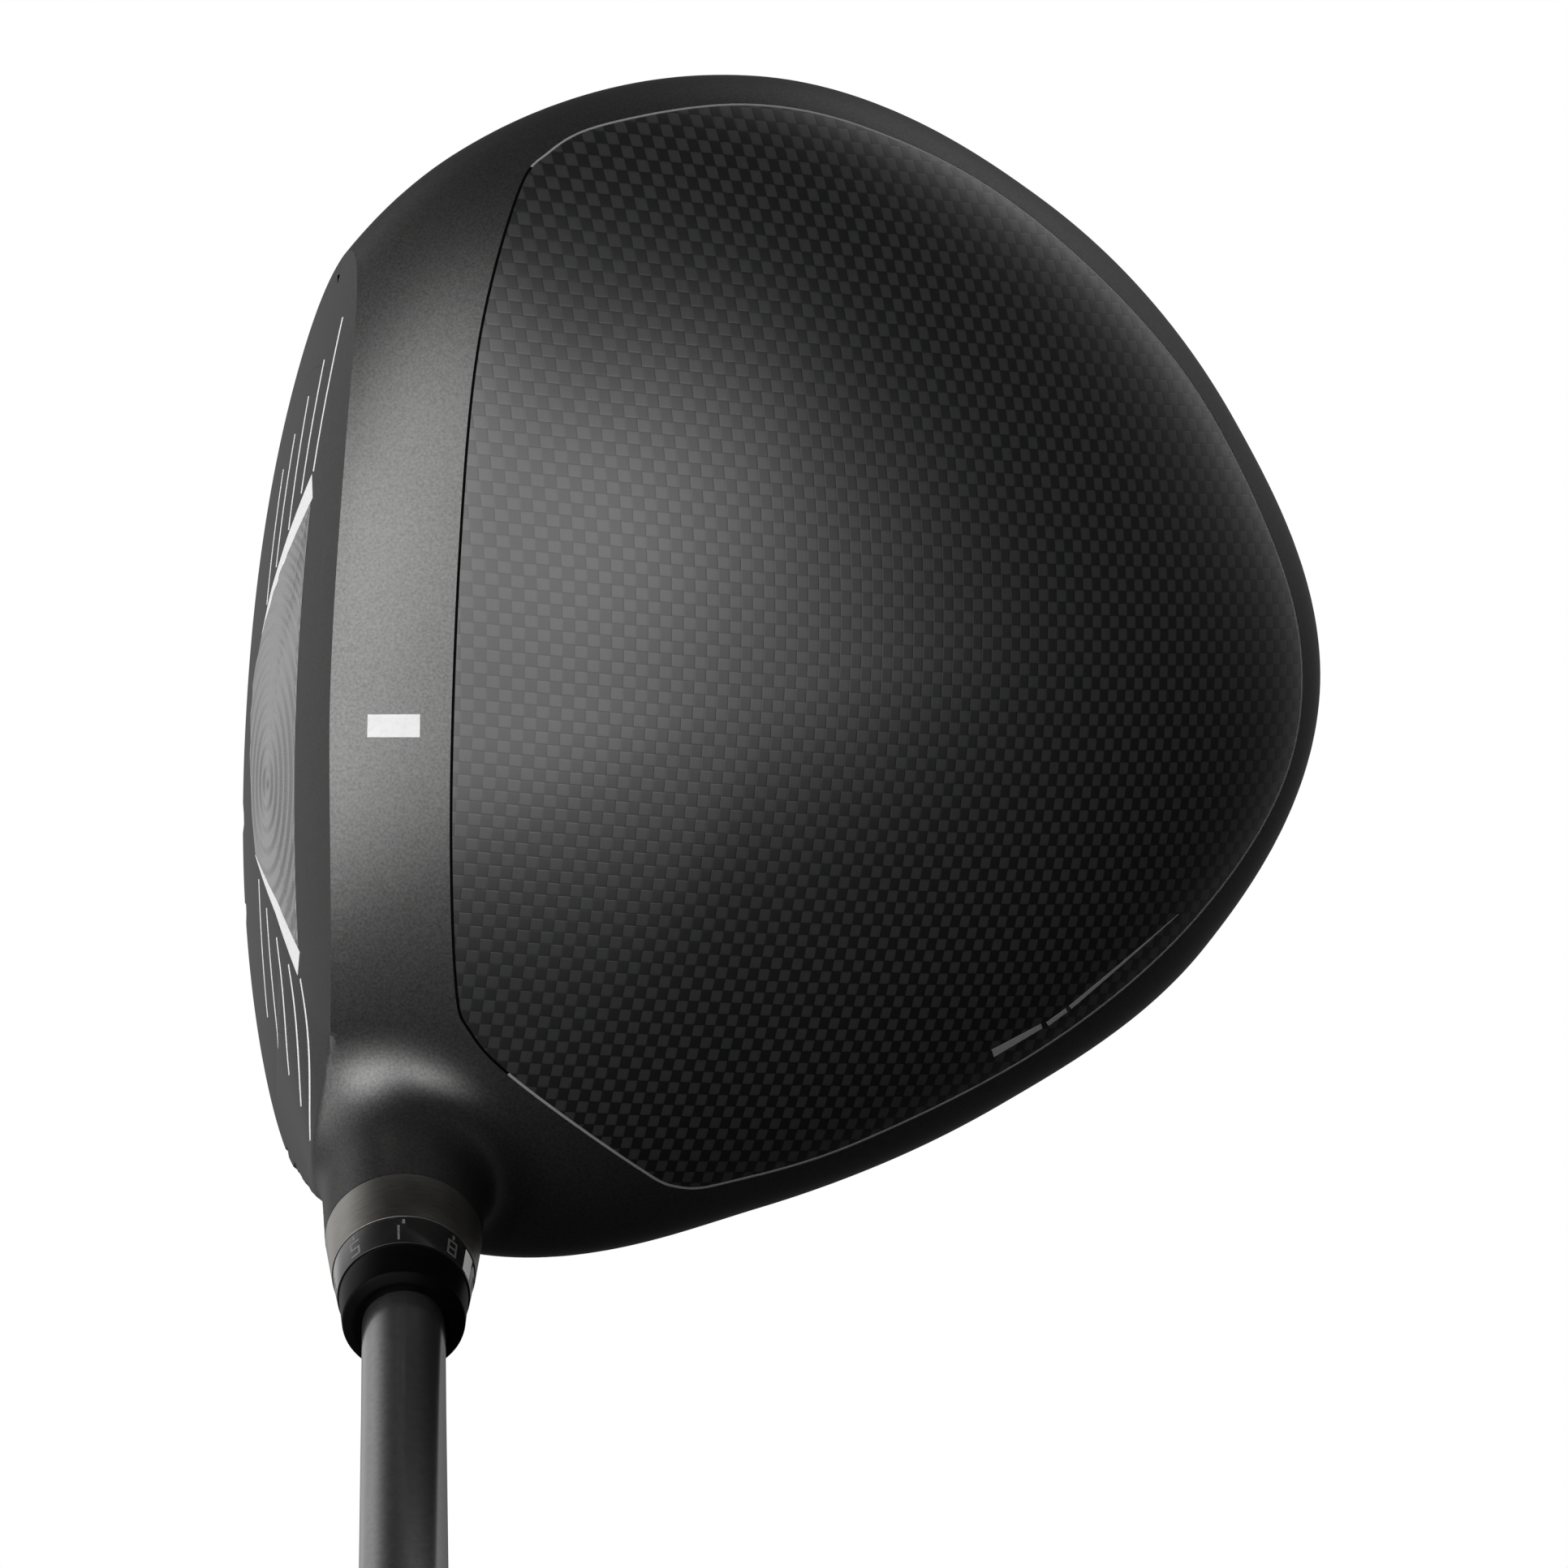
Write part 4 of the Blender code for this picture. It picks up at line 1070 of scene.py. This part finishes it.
def threaded(name, radius, depth, pitch, bottom, top, place, around=48, per_pitch=8):
    """A closed stem with a true helical thread, its last turn run out under the head."""
    rows = int((top - bottom) / pitch * per_pitch)
    bm = bmesh.new()
    rings = []
    for row in range(rows + 1):
        height = bottom + (top - bottom) * row / rows
        fade = min(1.0, (top - height) / pitch, (height - bottom) / (0.5 * pitch) + 0.2)
        ring = []
        for column in range(around):
            angle = 2 * math.pi * column / around
            phase = (height / pitch - column / around) % 1.0
            reach = radius - depth * (0.5 + 0.5 * math.cos(2 * math.pi * phase)) * max(fade, 0.0)
            ring.append(bm.verts.new(polar(reach, angle, height)))
        rings.append(ring)
    join_rings(bm, rings)
    bm.faces.new(list(reversed(rings[0])))
    bm.faces.new(rings[-1])
    return add_object(name, bm, place)


def make_weight(name, body, seal_body, finishes):
    """A screw-in weight with its star socket and threaded stem, and the rubber ring under its head."""
    head_radius, head_height, stem_radius, stem_length = WEIGHTS[name]
    place = joint_frame(name + "_turn")
    top = -0.6
    under = top - head_height
    profile = ((0.0, top), (head_radius - 0.6, top), (head_radius, top - 0.6), (head_radius, under),
               (0.0, under))
    weight = turned("fine_" + name, rounded(profile, 0.3), place)
    stem = threaded("stem", stem_radius, 0.45, THREAD_PITCH, under - stem_length, under + 0.4, place)
    combine(weight, stem, "UNION")
    combine(weight, turned("dish", ((0.0, top + 1.0), (4.6, top + 1.0), (3.8, top - 0.35), (0.0, top - 0.35)),
                           place), "DIFFERENCE")
    combine(weight, prism("socket", lobed(2.9, 0.24, 6), top - 3.6, top + 2.0, place), "DIFFERENCE")
    place_piece(weight, body, finishes["weight"], (name,))

    ring_top, ring_bottom = under - GAP, -head_height - 2.2 + GAP
    inner, outer = stem_radius + 0.7, head_radius - 0.5
    middle, half = (ring_top + ring_bottom) / 2, (ring_top - ring_bottom) / 2
    profile = ((outer - half, ring_top), (outer, middle), (outer - half, ring_bottom),
               (inner + half, ring_bottom), (inner, middle), (inner + half, ring_top))
    turned_piece(name + "_o_ring", profile, 0.4, place, 96, seal_body, finishes["rubber"])


def make_screw(finishes):
    """The captive sleeve screw with its thread and star socket, its washer, and its retaining ring."""
    head_top = SHELF_BOTTOM - 1.7
    head_bottom = head_top - 4.3
    profile = ((0.0, head_top + 1.0), (SCREW_RADIUS - 0.2, head_top + 1.0), (SCREW_RADIUS - 0.2, head_top),
               (SCREW_HEAD_RADIUS, head_top), (SCREW_HEAD_RADIUS, head_bottom), (0.0, head_bottom))
    screw = turned("fine_sleeve_screw", rounded(profile, 0.3), HOSEL_FRAME)
    stem = threaded("stem", SCREW_RADIUS, 0.4, 0.8, head_top + 0.6, SLEEVE_BOTTOM + 10.0, HOSEL_FRAME)
    combine(screw, stem, "UNION")
    socket = prism("socket", lobed(2.3, 0.24, 6), head_bottom - 2.0, head_bottom + 2.8, HOSEL_FRAME)
    combine(screw, socket, "DIFFERENCE")
    place_piece(screw, "screw", finishes["weight"], ("sleeve_screw",))
    for name, body, inner, outer, bottom, top in (
            ("screw_washer", "screw_slide", SCREW_RADIUS + GAP, SCREW_HEAD_RADIUS, head_top + GAP,
             SHELF_BOTTOM - GAP),
            ("screw_retainer", "head", SCREW_HEAD_RADIUS - 0.6, ACCESS_RADIUS + 0.4, RETAINER_Z - 0.5,
             RETAINER_Z + 0.5)):
        profile = ((inner, top), (outer, top), (outer, bottom), (inner, bottom))
        turned_piece(name, profile, 0.15, HOSEL_FRAME, 96, body, finishes["weight"])


# ---------------------------------------------------------------- adjustable hosel

def make_hosel(finishes):
    """Brushed ring, notched bush, and the sleeve with its marked collar, bearing and teeth."""
    inner = BEARING_RADIUS + GAP
    profile = ((inner, -0.08), (COLLAR_RADIUS + 0.08, -0.08), (NECK_RADIUS - 0.03, HOSEL_TOP + 0.08),
               (inner, HOSEL_TOP + 0.08))
    turned_piece("hosel_ring", profile, 0.04, HOSEL_FRAME, 160, "index_ring", finishes["brushed"])

    bush = cylinder("fine_hosel_bush", BUSH_RADIUS, TEETH_BOTTOM - 0.4, HOSEL_TOP - GAP, HOSEL_FRAME)
    notches = prism("notches", toothed(TOOTH_ROOT + GAP, BEARING_RADIUS + GAP, TOOTH_COUNT, 0.52),
                    TEETH_BOTTOM - 5.0, HOSEL_TOP + 5.0, HOSEL_FRAME)
    combine(bush, notches, "DIFFERENCE")
    place_piece(bush, "head", finishes["weight"], ("hosel_bush",))

    profile = ((0.0, COLLAR_HEIGHT), (COLLAR_RADIUS - 0.5, COLLAR_HEIGHT), (COLLAR_RADIUS, 0.0),
               (BEARING_RADIUS, 0.0), (BEARING_RADIUS, HOSEL_TOP + GAP), (TOOTH_ROOT, HOSEL_TOP + GAP),
               (TOOTH_ROOT, TEETH_BOTTOM), (SLEEVE_RADIUS, TEETH_BOTTOM - 0.5),
               (SLEEVE_RADIUS, SLEEVE_BOTTOM), (0.0, SLEEVE_BOTTOM))
    sleeve = turned("fine_sleeve", rounded(profile, 0.05), HOSEL_FRAME, 160)
    teeth = prism("teeth", toothed(TOOTH_ROOT - 0.2, BEARING_RADIUS - 0.05, TOOTH_COUNT, 0.4),
                  TEETH_BOTTOM, HOSEL_TOP + 0.5, HOSEL_FRAME)
    combine(sleeve, teeth, "UNION")
    bore = cylinder("bore", SHAFT_TIP_RADIUS + GAP, SHAFT_TIP - 0.8, 20.0, SHAFT_FRAME)
    combine(sleeve, bore, "DIFFERENCE")
    combine(sleeve, cylinder("thread", SCREW_RADIUS + GAP, SLEEVE_BOTTOM - 2.0, SHAFT_TIP - 3.0,
                             HOSEL_FRAME), "DIFFERENCE")
    place_piece(sleeve, "shaft_assembly", finishes["anodised"], ("sleeve",))


SEGMENTS = {"a": (0.0, 1.0, 1.0, 0.0), "b": (1.0, 1.0, 0.0, 0.5), "c": (1.0, 0.5, 0.0, 0.5),
            "d": (0.0, 0.0, 1.0, 0.0), "e": (0.0, 0.5, 0.0, 0.5), "f": (0.0, 1.0, 0.0, 0.5),
            "g": (0.0, 0.5, 1.0, 0.0)}
DIGITS = {1: "bc", 2: "abged", 3: "abgcd", 4: "fgbc", 5: "afgcd", 6: "afgedc", 7: "abc", 8: "abcdefg"}


def collar_bar(bm, turn, across, up, wide, tall):
    """A flat bar on the collar: centre (across, up) and size, in millimetres from the mark's middle."""
    steps = max(2, int(wide / 0.2))
    rings = []
    for step in range(steps + 1):
        offset = across + wide * (step / steps - 0.5)
        ring = []
        for height, out in ((up - tall / 2, 0.02), (up + tall / 2, 0.02), (up + tall / 2, -0.2),
                            (up - tall / 2, -0.2)):
            reach = COLLAR_RADIUS - 0.5 * height / COLLAR_HEIGHT + out
            angle = turn + offset / COLLAR_RADIUS
            ring.append(bm.verts.new(polar(reach, angle, height)))
        rings.append(ring)
    join_rings(bm, rings)
    bm.faces.new(rings[0])
    bm.faces.new(list(reversed(rings[-1])))


def make_setting_marks(finishes):
    """Numbers 1 to 8 round the collar with a tick over each, and the white block of the home setting."""
    bm = bmesh.new()
    stroke, wide, tall, middle = 0.24, 1.1, 1.9, 2.25
    for number, parts in DIGITS.items():
        turn = math.radians(45.0) * (number - 1)
        for part in parts:
            u, v, run, rise = SEGMENTS[part]
            across = (u + run / 2 - 0.5) * wide
            up = middle - (v - rise / 2 - 0.5) * tall
            collar_bar(bm, turn, across, up, run * wide + stroke, rise * tall + stroke)
        collar_bar(bm, turn, 0.0, 0.62, 0.28, 0.6)
    bmesh.ops.recalc_face_normals(bm, faces=bm.faces)
    marks = add_object("setting_marks", bm, HOSEL_FRAME)
    place_piece(marks, "shaft_assembly", finishes["mark_grey"])
    bm = bmesh.new()
    collar_bar(bm, math.radians(-68.0), 0.0, 1.9, 1.7, 3.2)
    bmesh.ops.recalc_face_normals(bm, faces=bm.faces)
    home = add_object("home_mark", bm, HOSEL_FRAME)
    place_piece(home, "shaft_assembly", finishes["white_painted_glow"])


# ---------------------------------------------------------------- shaft and grip

def shaft_radius(height):
    """Outer radius of the shaft: parallel at the tip, then an even taper to the butt."""
    if height <= TIP_PARALLEL:
        return SHAFT_TIP_RADIUS
    share = (height - TIP_PARALLEL) / (SHAFT_BUTT - TIP_PARALLEL)
    return SHAFT_TIP_RADIUS + (SHAFT_BUTT_RADIUS - SHAFT_TIP_RADIUS) * share


def make_shaft(finishes):
    heights = (SHAFT_BUTT, GRIP_MOUTH, 400.0, 120.0, TIP_PARALLEL, SHAFT_TIP)
    profile = [(shaft_radius(height), height) for height in heights]
    profile += [(shaft_radius(height) - SHAFT_WALL, height) for height in reversed(heights)]
    turned_piece("shaft", profile, 0.0, SHAFT_FRAME, 96, "shaft_assembly", finishes["shaft"])
    plug_radius = SHAFT_TIP_RADIUS - SHAFT_WALL - GAP
    profile = ((0.0, SHAFT_TIP + 10.0), (plug_radius, SHAFT_TIP + 10.0), (plug_radius, SHAFT_TIP + 0.2),
               (0.0, SHAFT_TIP + 0.2))
    turned_piece("tip_plug", profile, 0.3, SHAFT_FRAME, 64, "shaft_assembly", finishes["rubber"])
    bottom = COLLAR_HEIGHT + GAP + 0.1
    inner = shaft_radius(FERRULE_TOP) + 0.05
    profile = ((inner, FERRULE_TOP), (5.2, FERRULE_TOP), (6.35, FERRULE_TOP - 0.7), (6.5, bottom + 2.6),
               (FERRULE_RADIUS, bottom), (inner, bottom))
    turned_piece("ferrule", profile, 0.25, SHAFT_FRAME, 160, "shaft_assembly", finishes["ferrule"])


def grip_radius(height):
    """Outer radius of the bare grip."""
    return np.interp(height, (GRIP_MOUTH, GRIP_MOUTH + 3.0, SHAFT_BUTT - 90.0, SHAFT_BUTT - 16.0,
                              SHAFT_BUTT - 3.0, SHAFT_BUTT),
                     (GRIP_MOUTH_RADIUS - 0.7, GRIP_MOUTH_RADIUS, 11.6, GRIP_BUTT_RADIUS - 0.4,
                      GRIP_BUTT_RADIUS, GRIP_BUTT_RADIUS - 1.6))


def make_grip(finishes):
    """Tape over the shaft, the rubber grip with its moulded pattern of cuts, and the butt cap."""
    mouth, butt = shaft_radius(GRIP_MOUTH), shaft_radius(SHAFT_BUTT)
    profile = ((butt + 0.6, SHAFT_BUTT - 2.0), (mouth + 0.6, GRIP_MOUTH + 2.0),
               (mouth + 0.3, GRIP_MOUTH + 2.0), (butt + 0.3, SHAFT_BUTT - 2.0))
    turned_piece("grip_tape", profile, 0.0, SHAFT_FRAME, 96, "shaft_assembly", finishes["tape"])

    around = 120
    rise = 1.0
    heights = np.concatenate(((GRIP_MOUTH, GRIP_MOUTH + 0.25, GRIP_MOUTH + 1.0),
                              np.arange(GRIP_MOUTH + 2.0, SHAFT_BUTT - 2.5, rise),
                              (SHAFT_BUTT - 2.0, SHAFT_BUTT - 1.2, SHAFT_BUTT - 0.5, SHAFT_BUTT)))
    bm = bmesh.new()
    rings = []
    for row, height in enumerate(heights):
        radius = float(grip_radius(height))
        plain = height < GRIP_MOUTH + 12.0 or height > SHAFT_BUTT - 14.0
        ring = []
        for column in range(around):
            angle = 2 * math.pi * column / around
            cut = 0.0
            if not plain:
                lane = (column // 3 + row // 4) % 2
                cut = 0.28 if (column % 3 == 1 and row % 4 in (1, 2) and lane == 0) else 0.0
            if abs(height - GRIP_MOUTH - 12.0) < 0.8 or abs(height - SHAFT_BUTT + 14.0) < 0.8:
                cut = 0.35
            reach = radius - cut
            ring.append(bm.verts.new(polar(reach, angle, height)))
        rings.append(ring)
    for height, radius in ((SHAFT_BUTT, butt + 0.9), (GRIP_MOUTH, mouth + 0.9)):
        rings.append([bm.verts.new(polar(radius, 2 * math.pi * column / around, height))
                      for column in range(around)])
    join_rings(bm, rings + rings[:1])
    bmesh.ops.recalc_face_normals(bm, faces=bm.faces)
    grip = add_object("fine_grip", bm, SHAFT_FRAME)
    place_piece(grip, "shaft_assembly", finishes["rubber"], ("grip",))

    plug = SHAFT_BUTT_RADIUS - SHAFT_WALL - GAP
    profile = ((0.9, CAP_TOP), (9.0, CAP_TOP), (10.6, CAP_TOP - 0.5), (11.6, SHAFT_BUTT + 4.5),
               (GRIP_BUTT_RADIUS - 1.6, SHAFT_BUTT + GAP), (plug, SHAFT_BUTT + GAP),
               (plug, SHAFT_BUTT - 9.0), (0.9, SHAFT_BUTT - 9.0))
    cap = turned("fine_grip_cap", rounded(profile, 0.5), SHAFT_FRAME, 128)
    for radius in (5.5, 8.4):
        groove = turned("groove", ((radius, CAP_TOP + 1.0), (radius + 0.6, CAP_TOP + 1.0),
                                   (radius + 0.6, CAP_TOP - 0.35), (radius, CAP_TOP - 0.35)), SHAFT_FRAME)
        combine(cap, groove, "DIFFERENCE")
    place_piece(cap, "shaft_assembly", finishes["rubber"], ("grip_cap",))


# ---------------------------------------------------------------- studio

# Strength, sharpness, bearing from +X towards +Y, and angle from straight up, both in degrees
LIGHTS = (
    (2.44, 20, 105, 12),  # softbox overhead, towards the toe
    (1.91, 20, 175, 40),  # softboxes over the face
    (1.39, 20, 150, 40),
    (1.99, 20, 150, 55),
    (1.28, 6, 180, 90),  # broad front fill
    (0.58, 25, 180, 155),  # glow from the floor at the face
    (0.58, 25, 143, 135),  # strip from below, on the toe side of the shaft
    (0.30, 12, 46, 130),  # strip from below, behind the shaft
    (0.44, 14, 62, 125),  # soft edge of that strip
    (0.17, 6, 0, 150),  # glow from the floor at the back
    (0.11, 6, 30, 105),  # low fill from the back
)


def make_lights():
    """A dark studio with soft round lights: each fades smoothly round its own direction."""
    world = bpy.data.worlds.new("studio")
    world.use_nodes = True
    nodes, links = world.node_tree.nodes, world.node_tree.links
    background = nodes["Background"]
    background.inputs["Color"].default_value = (1.0, 1.0, 1.0, 1.0)
    coords = nodes.new("ShaderNodeTexCoord")

    def math_node(operation, source, *values):
        made = nodes.new("ShaderNodeMath")
        made.operation = operation
        for index, value in enumerate(values, start=1):
            made.inputs[index].default_value = value
        links.new(source, made.inputs[0])
        return made

    total = None
    for strength, sharpness, bearing, from_up in LIGHTS:
        turn, tilt = math.radians(bearing), math.radians(from_up)
        direction = (math.sin(tilt) * math.cos(turn), math.sin(tilt) * math.sin(turn), math.cos(tilt))
        facing = nodes.new("ShaderNodeVectorMath")
        facing.operation = "DOT_PRODUCT"
        facing.inputs[1].default_value = direction
        links.new(coords.outputs["Generated"], facing.inputs[0])
        scaled = math_node("MULTIPLY_ADD", facing.outputs["Value"], sharpness, -sharpness)
        lit = math_node("MULTIPLY_ADD", math_node("EXPONENT", scaled.outputs[0]).outputs[0], strength, 0.0)
        if total is not None:
            links.new(total, lit.inputs[2])
        total = lit.outputs[0]
    links.new(total, background.inputs["Strength"])
    bpy.context.scene.world = world
    bpy.context.scene.view_settings.view_transform = "Standard"


def make_stage():
    """A wide pale floor and a pale dome behind it, seen by the camera and not in the reflections."""
    bm = bmesh.new()
    bmesh.ops.create_circle(bm, cap_ends=True, segments=96, radius=30000.0)
    bmesh.ops.translate(bm, vec=(0, 0, -0.6), verts=bm.verts)
    floor = add_object("floor", bm)
    bm = bmesh.new()
    bmesh.ops.create_uvsphere(bm, u_segments=64, v_segments=32, radius=29000.0)
    below = [face for face in bm.faces if face.calc_center_median().z < -1.0]
    bmesh.ops.delete(bm, geom=below, context="FACES")
    bmesh.ops.reverse_faces(bm, faces=bm.faces)
    dome = add_object("dome", bm)
    for obj, glow in ((floor, 1.0), (dome, 0.96)):
        f = Finish("pale_" + obj.name, Roughness=1.0, Base_Color=(0.0, 0.0, 0.0, 1.0))
        f.shader.inputs["Specular IOR Level"].default_value = 0.0
        f.shader.inputs["Emission Color"].default_value = (1.0, 1.0, 1.0, 1.0)
        f.shader.inputs["Emission Strength"].default_value = glow
        obj.data.materials.append(f.material)
        obj.visible_glossy = False
        obj.visible_diffuse = False
        obj.visible_shadow = False


def make_camera():
    data = bpy.data.cameras.new("camera")
    data.lens = 169.1
    data.clip_start = 0.01
    data.clip_end = 200.0
    camera = bpy.data.objects.new("camera", data)
    bpy.context.scene.collection.objects.link(camera)
    place = Vector((-14.6, -6.1, 830.0)) * MM
    ahead = (Vector((26.6, -6.1, 30.0)) * MM - place).normalized()
    side = ahead.cross(Vector((0.0, 1.0, 0.0))).normalized()
    world = Matrix((side, side.cross(ahead), -ahead)).transposed().to_4x4()
    world.translation = place
    camera.matrix_world = world
    bpy.context.scene.camera = camera


def main():
    finishes = {
        "paint": painted_titanium(),
        "carbon": carbon_weave(),
        "milled": blasted_titanium("milled_face", 0.36, 0.46, 0.26, metallic=1.0),
        # Crown seam strips: black is a painted shadow in the front of the gap, light grey a painted highlight
        # on the paint edge
        "painted_gap_shadow": dark_gloss("painted_gap_shadow", 0.002, 0.6, shine=0.02),
        "painted_seam_highlight": print_ink("painted_seam_highlight", 0.32),
        # The white ink glows: a painted highlight that makes it brighter than the lights do
        "white_painted_glow": print_ink("white_ink_painted_glow", 0.95, glow=0.12),
        "stripe": print_ink("stripe_grey", 0.4),
        "mark_grey": print_ink("mark_grey", 0.2),
        "weight": brushed_metal("machined_steel", 0.35, (1.0, 1.0, 1.0)),
        "brushed": brushed_metal("brushed_ring", 0.42, (1.0, 0.97, 0.9)),
        "anodised": dark_gloss("black_collar", 0.012, 0.14, coat=1.0),
        "ferrule": dark_gloss("black_ferrule", 0.002, 0.35, shine=0.05),
        "shaft": satin_graphite(),
        "rubber": rubber("moulded_rubber"),
        "tape": paper_tape(),
    }
    make_head(finishes)
    make_seam(finishes)
    make_face_marks(finishes)
    make_milled_zone(finishes)
    make_crown_marks(finishes)
    make_weight("rear_weight", "rear_weight", "rear_seal", finishes)
    make_weight("front_weight", "front_weight", "front_seal", finishes)
    make_screw(finishes)
    make_hosel(finishes)
    make_setting_marks(finishes)
    make_shaft(finishes)
    make_grip(finishes)
    make_lights()
    make_stage()
    make_camera()


main()
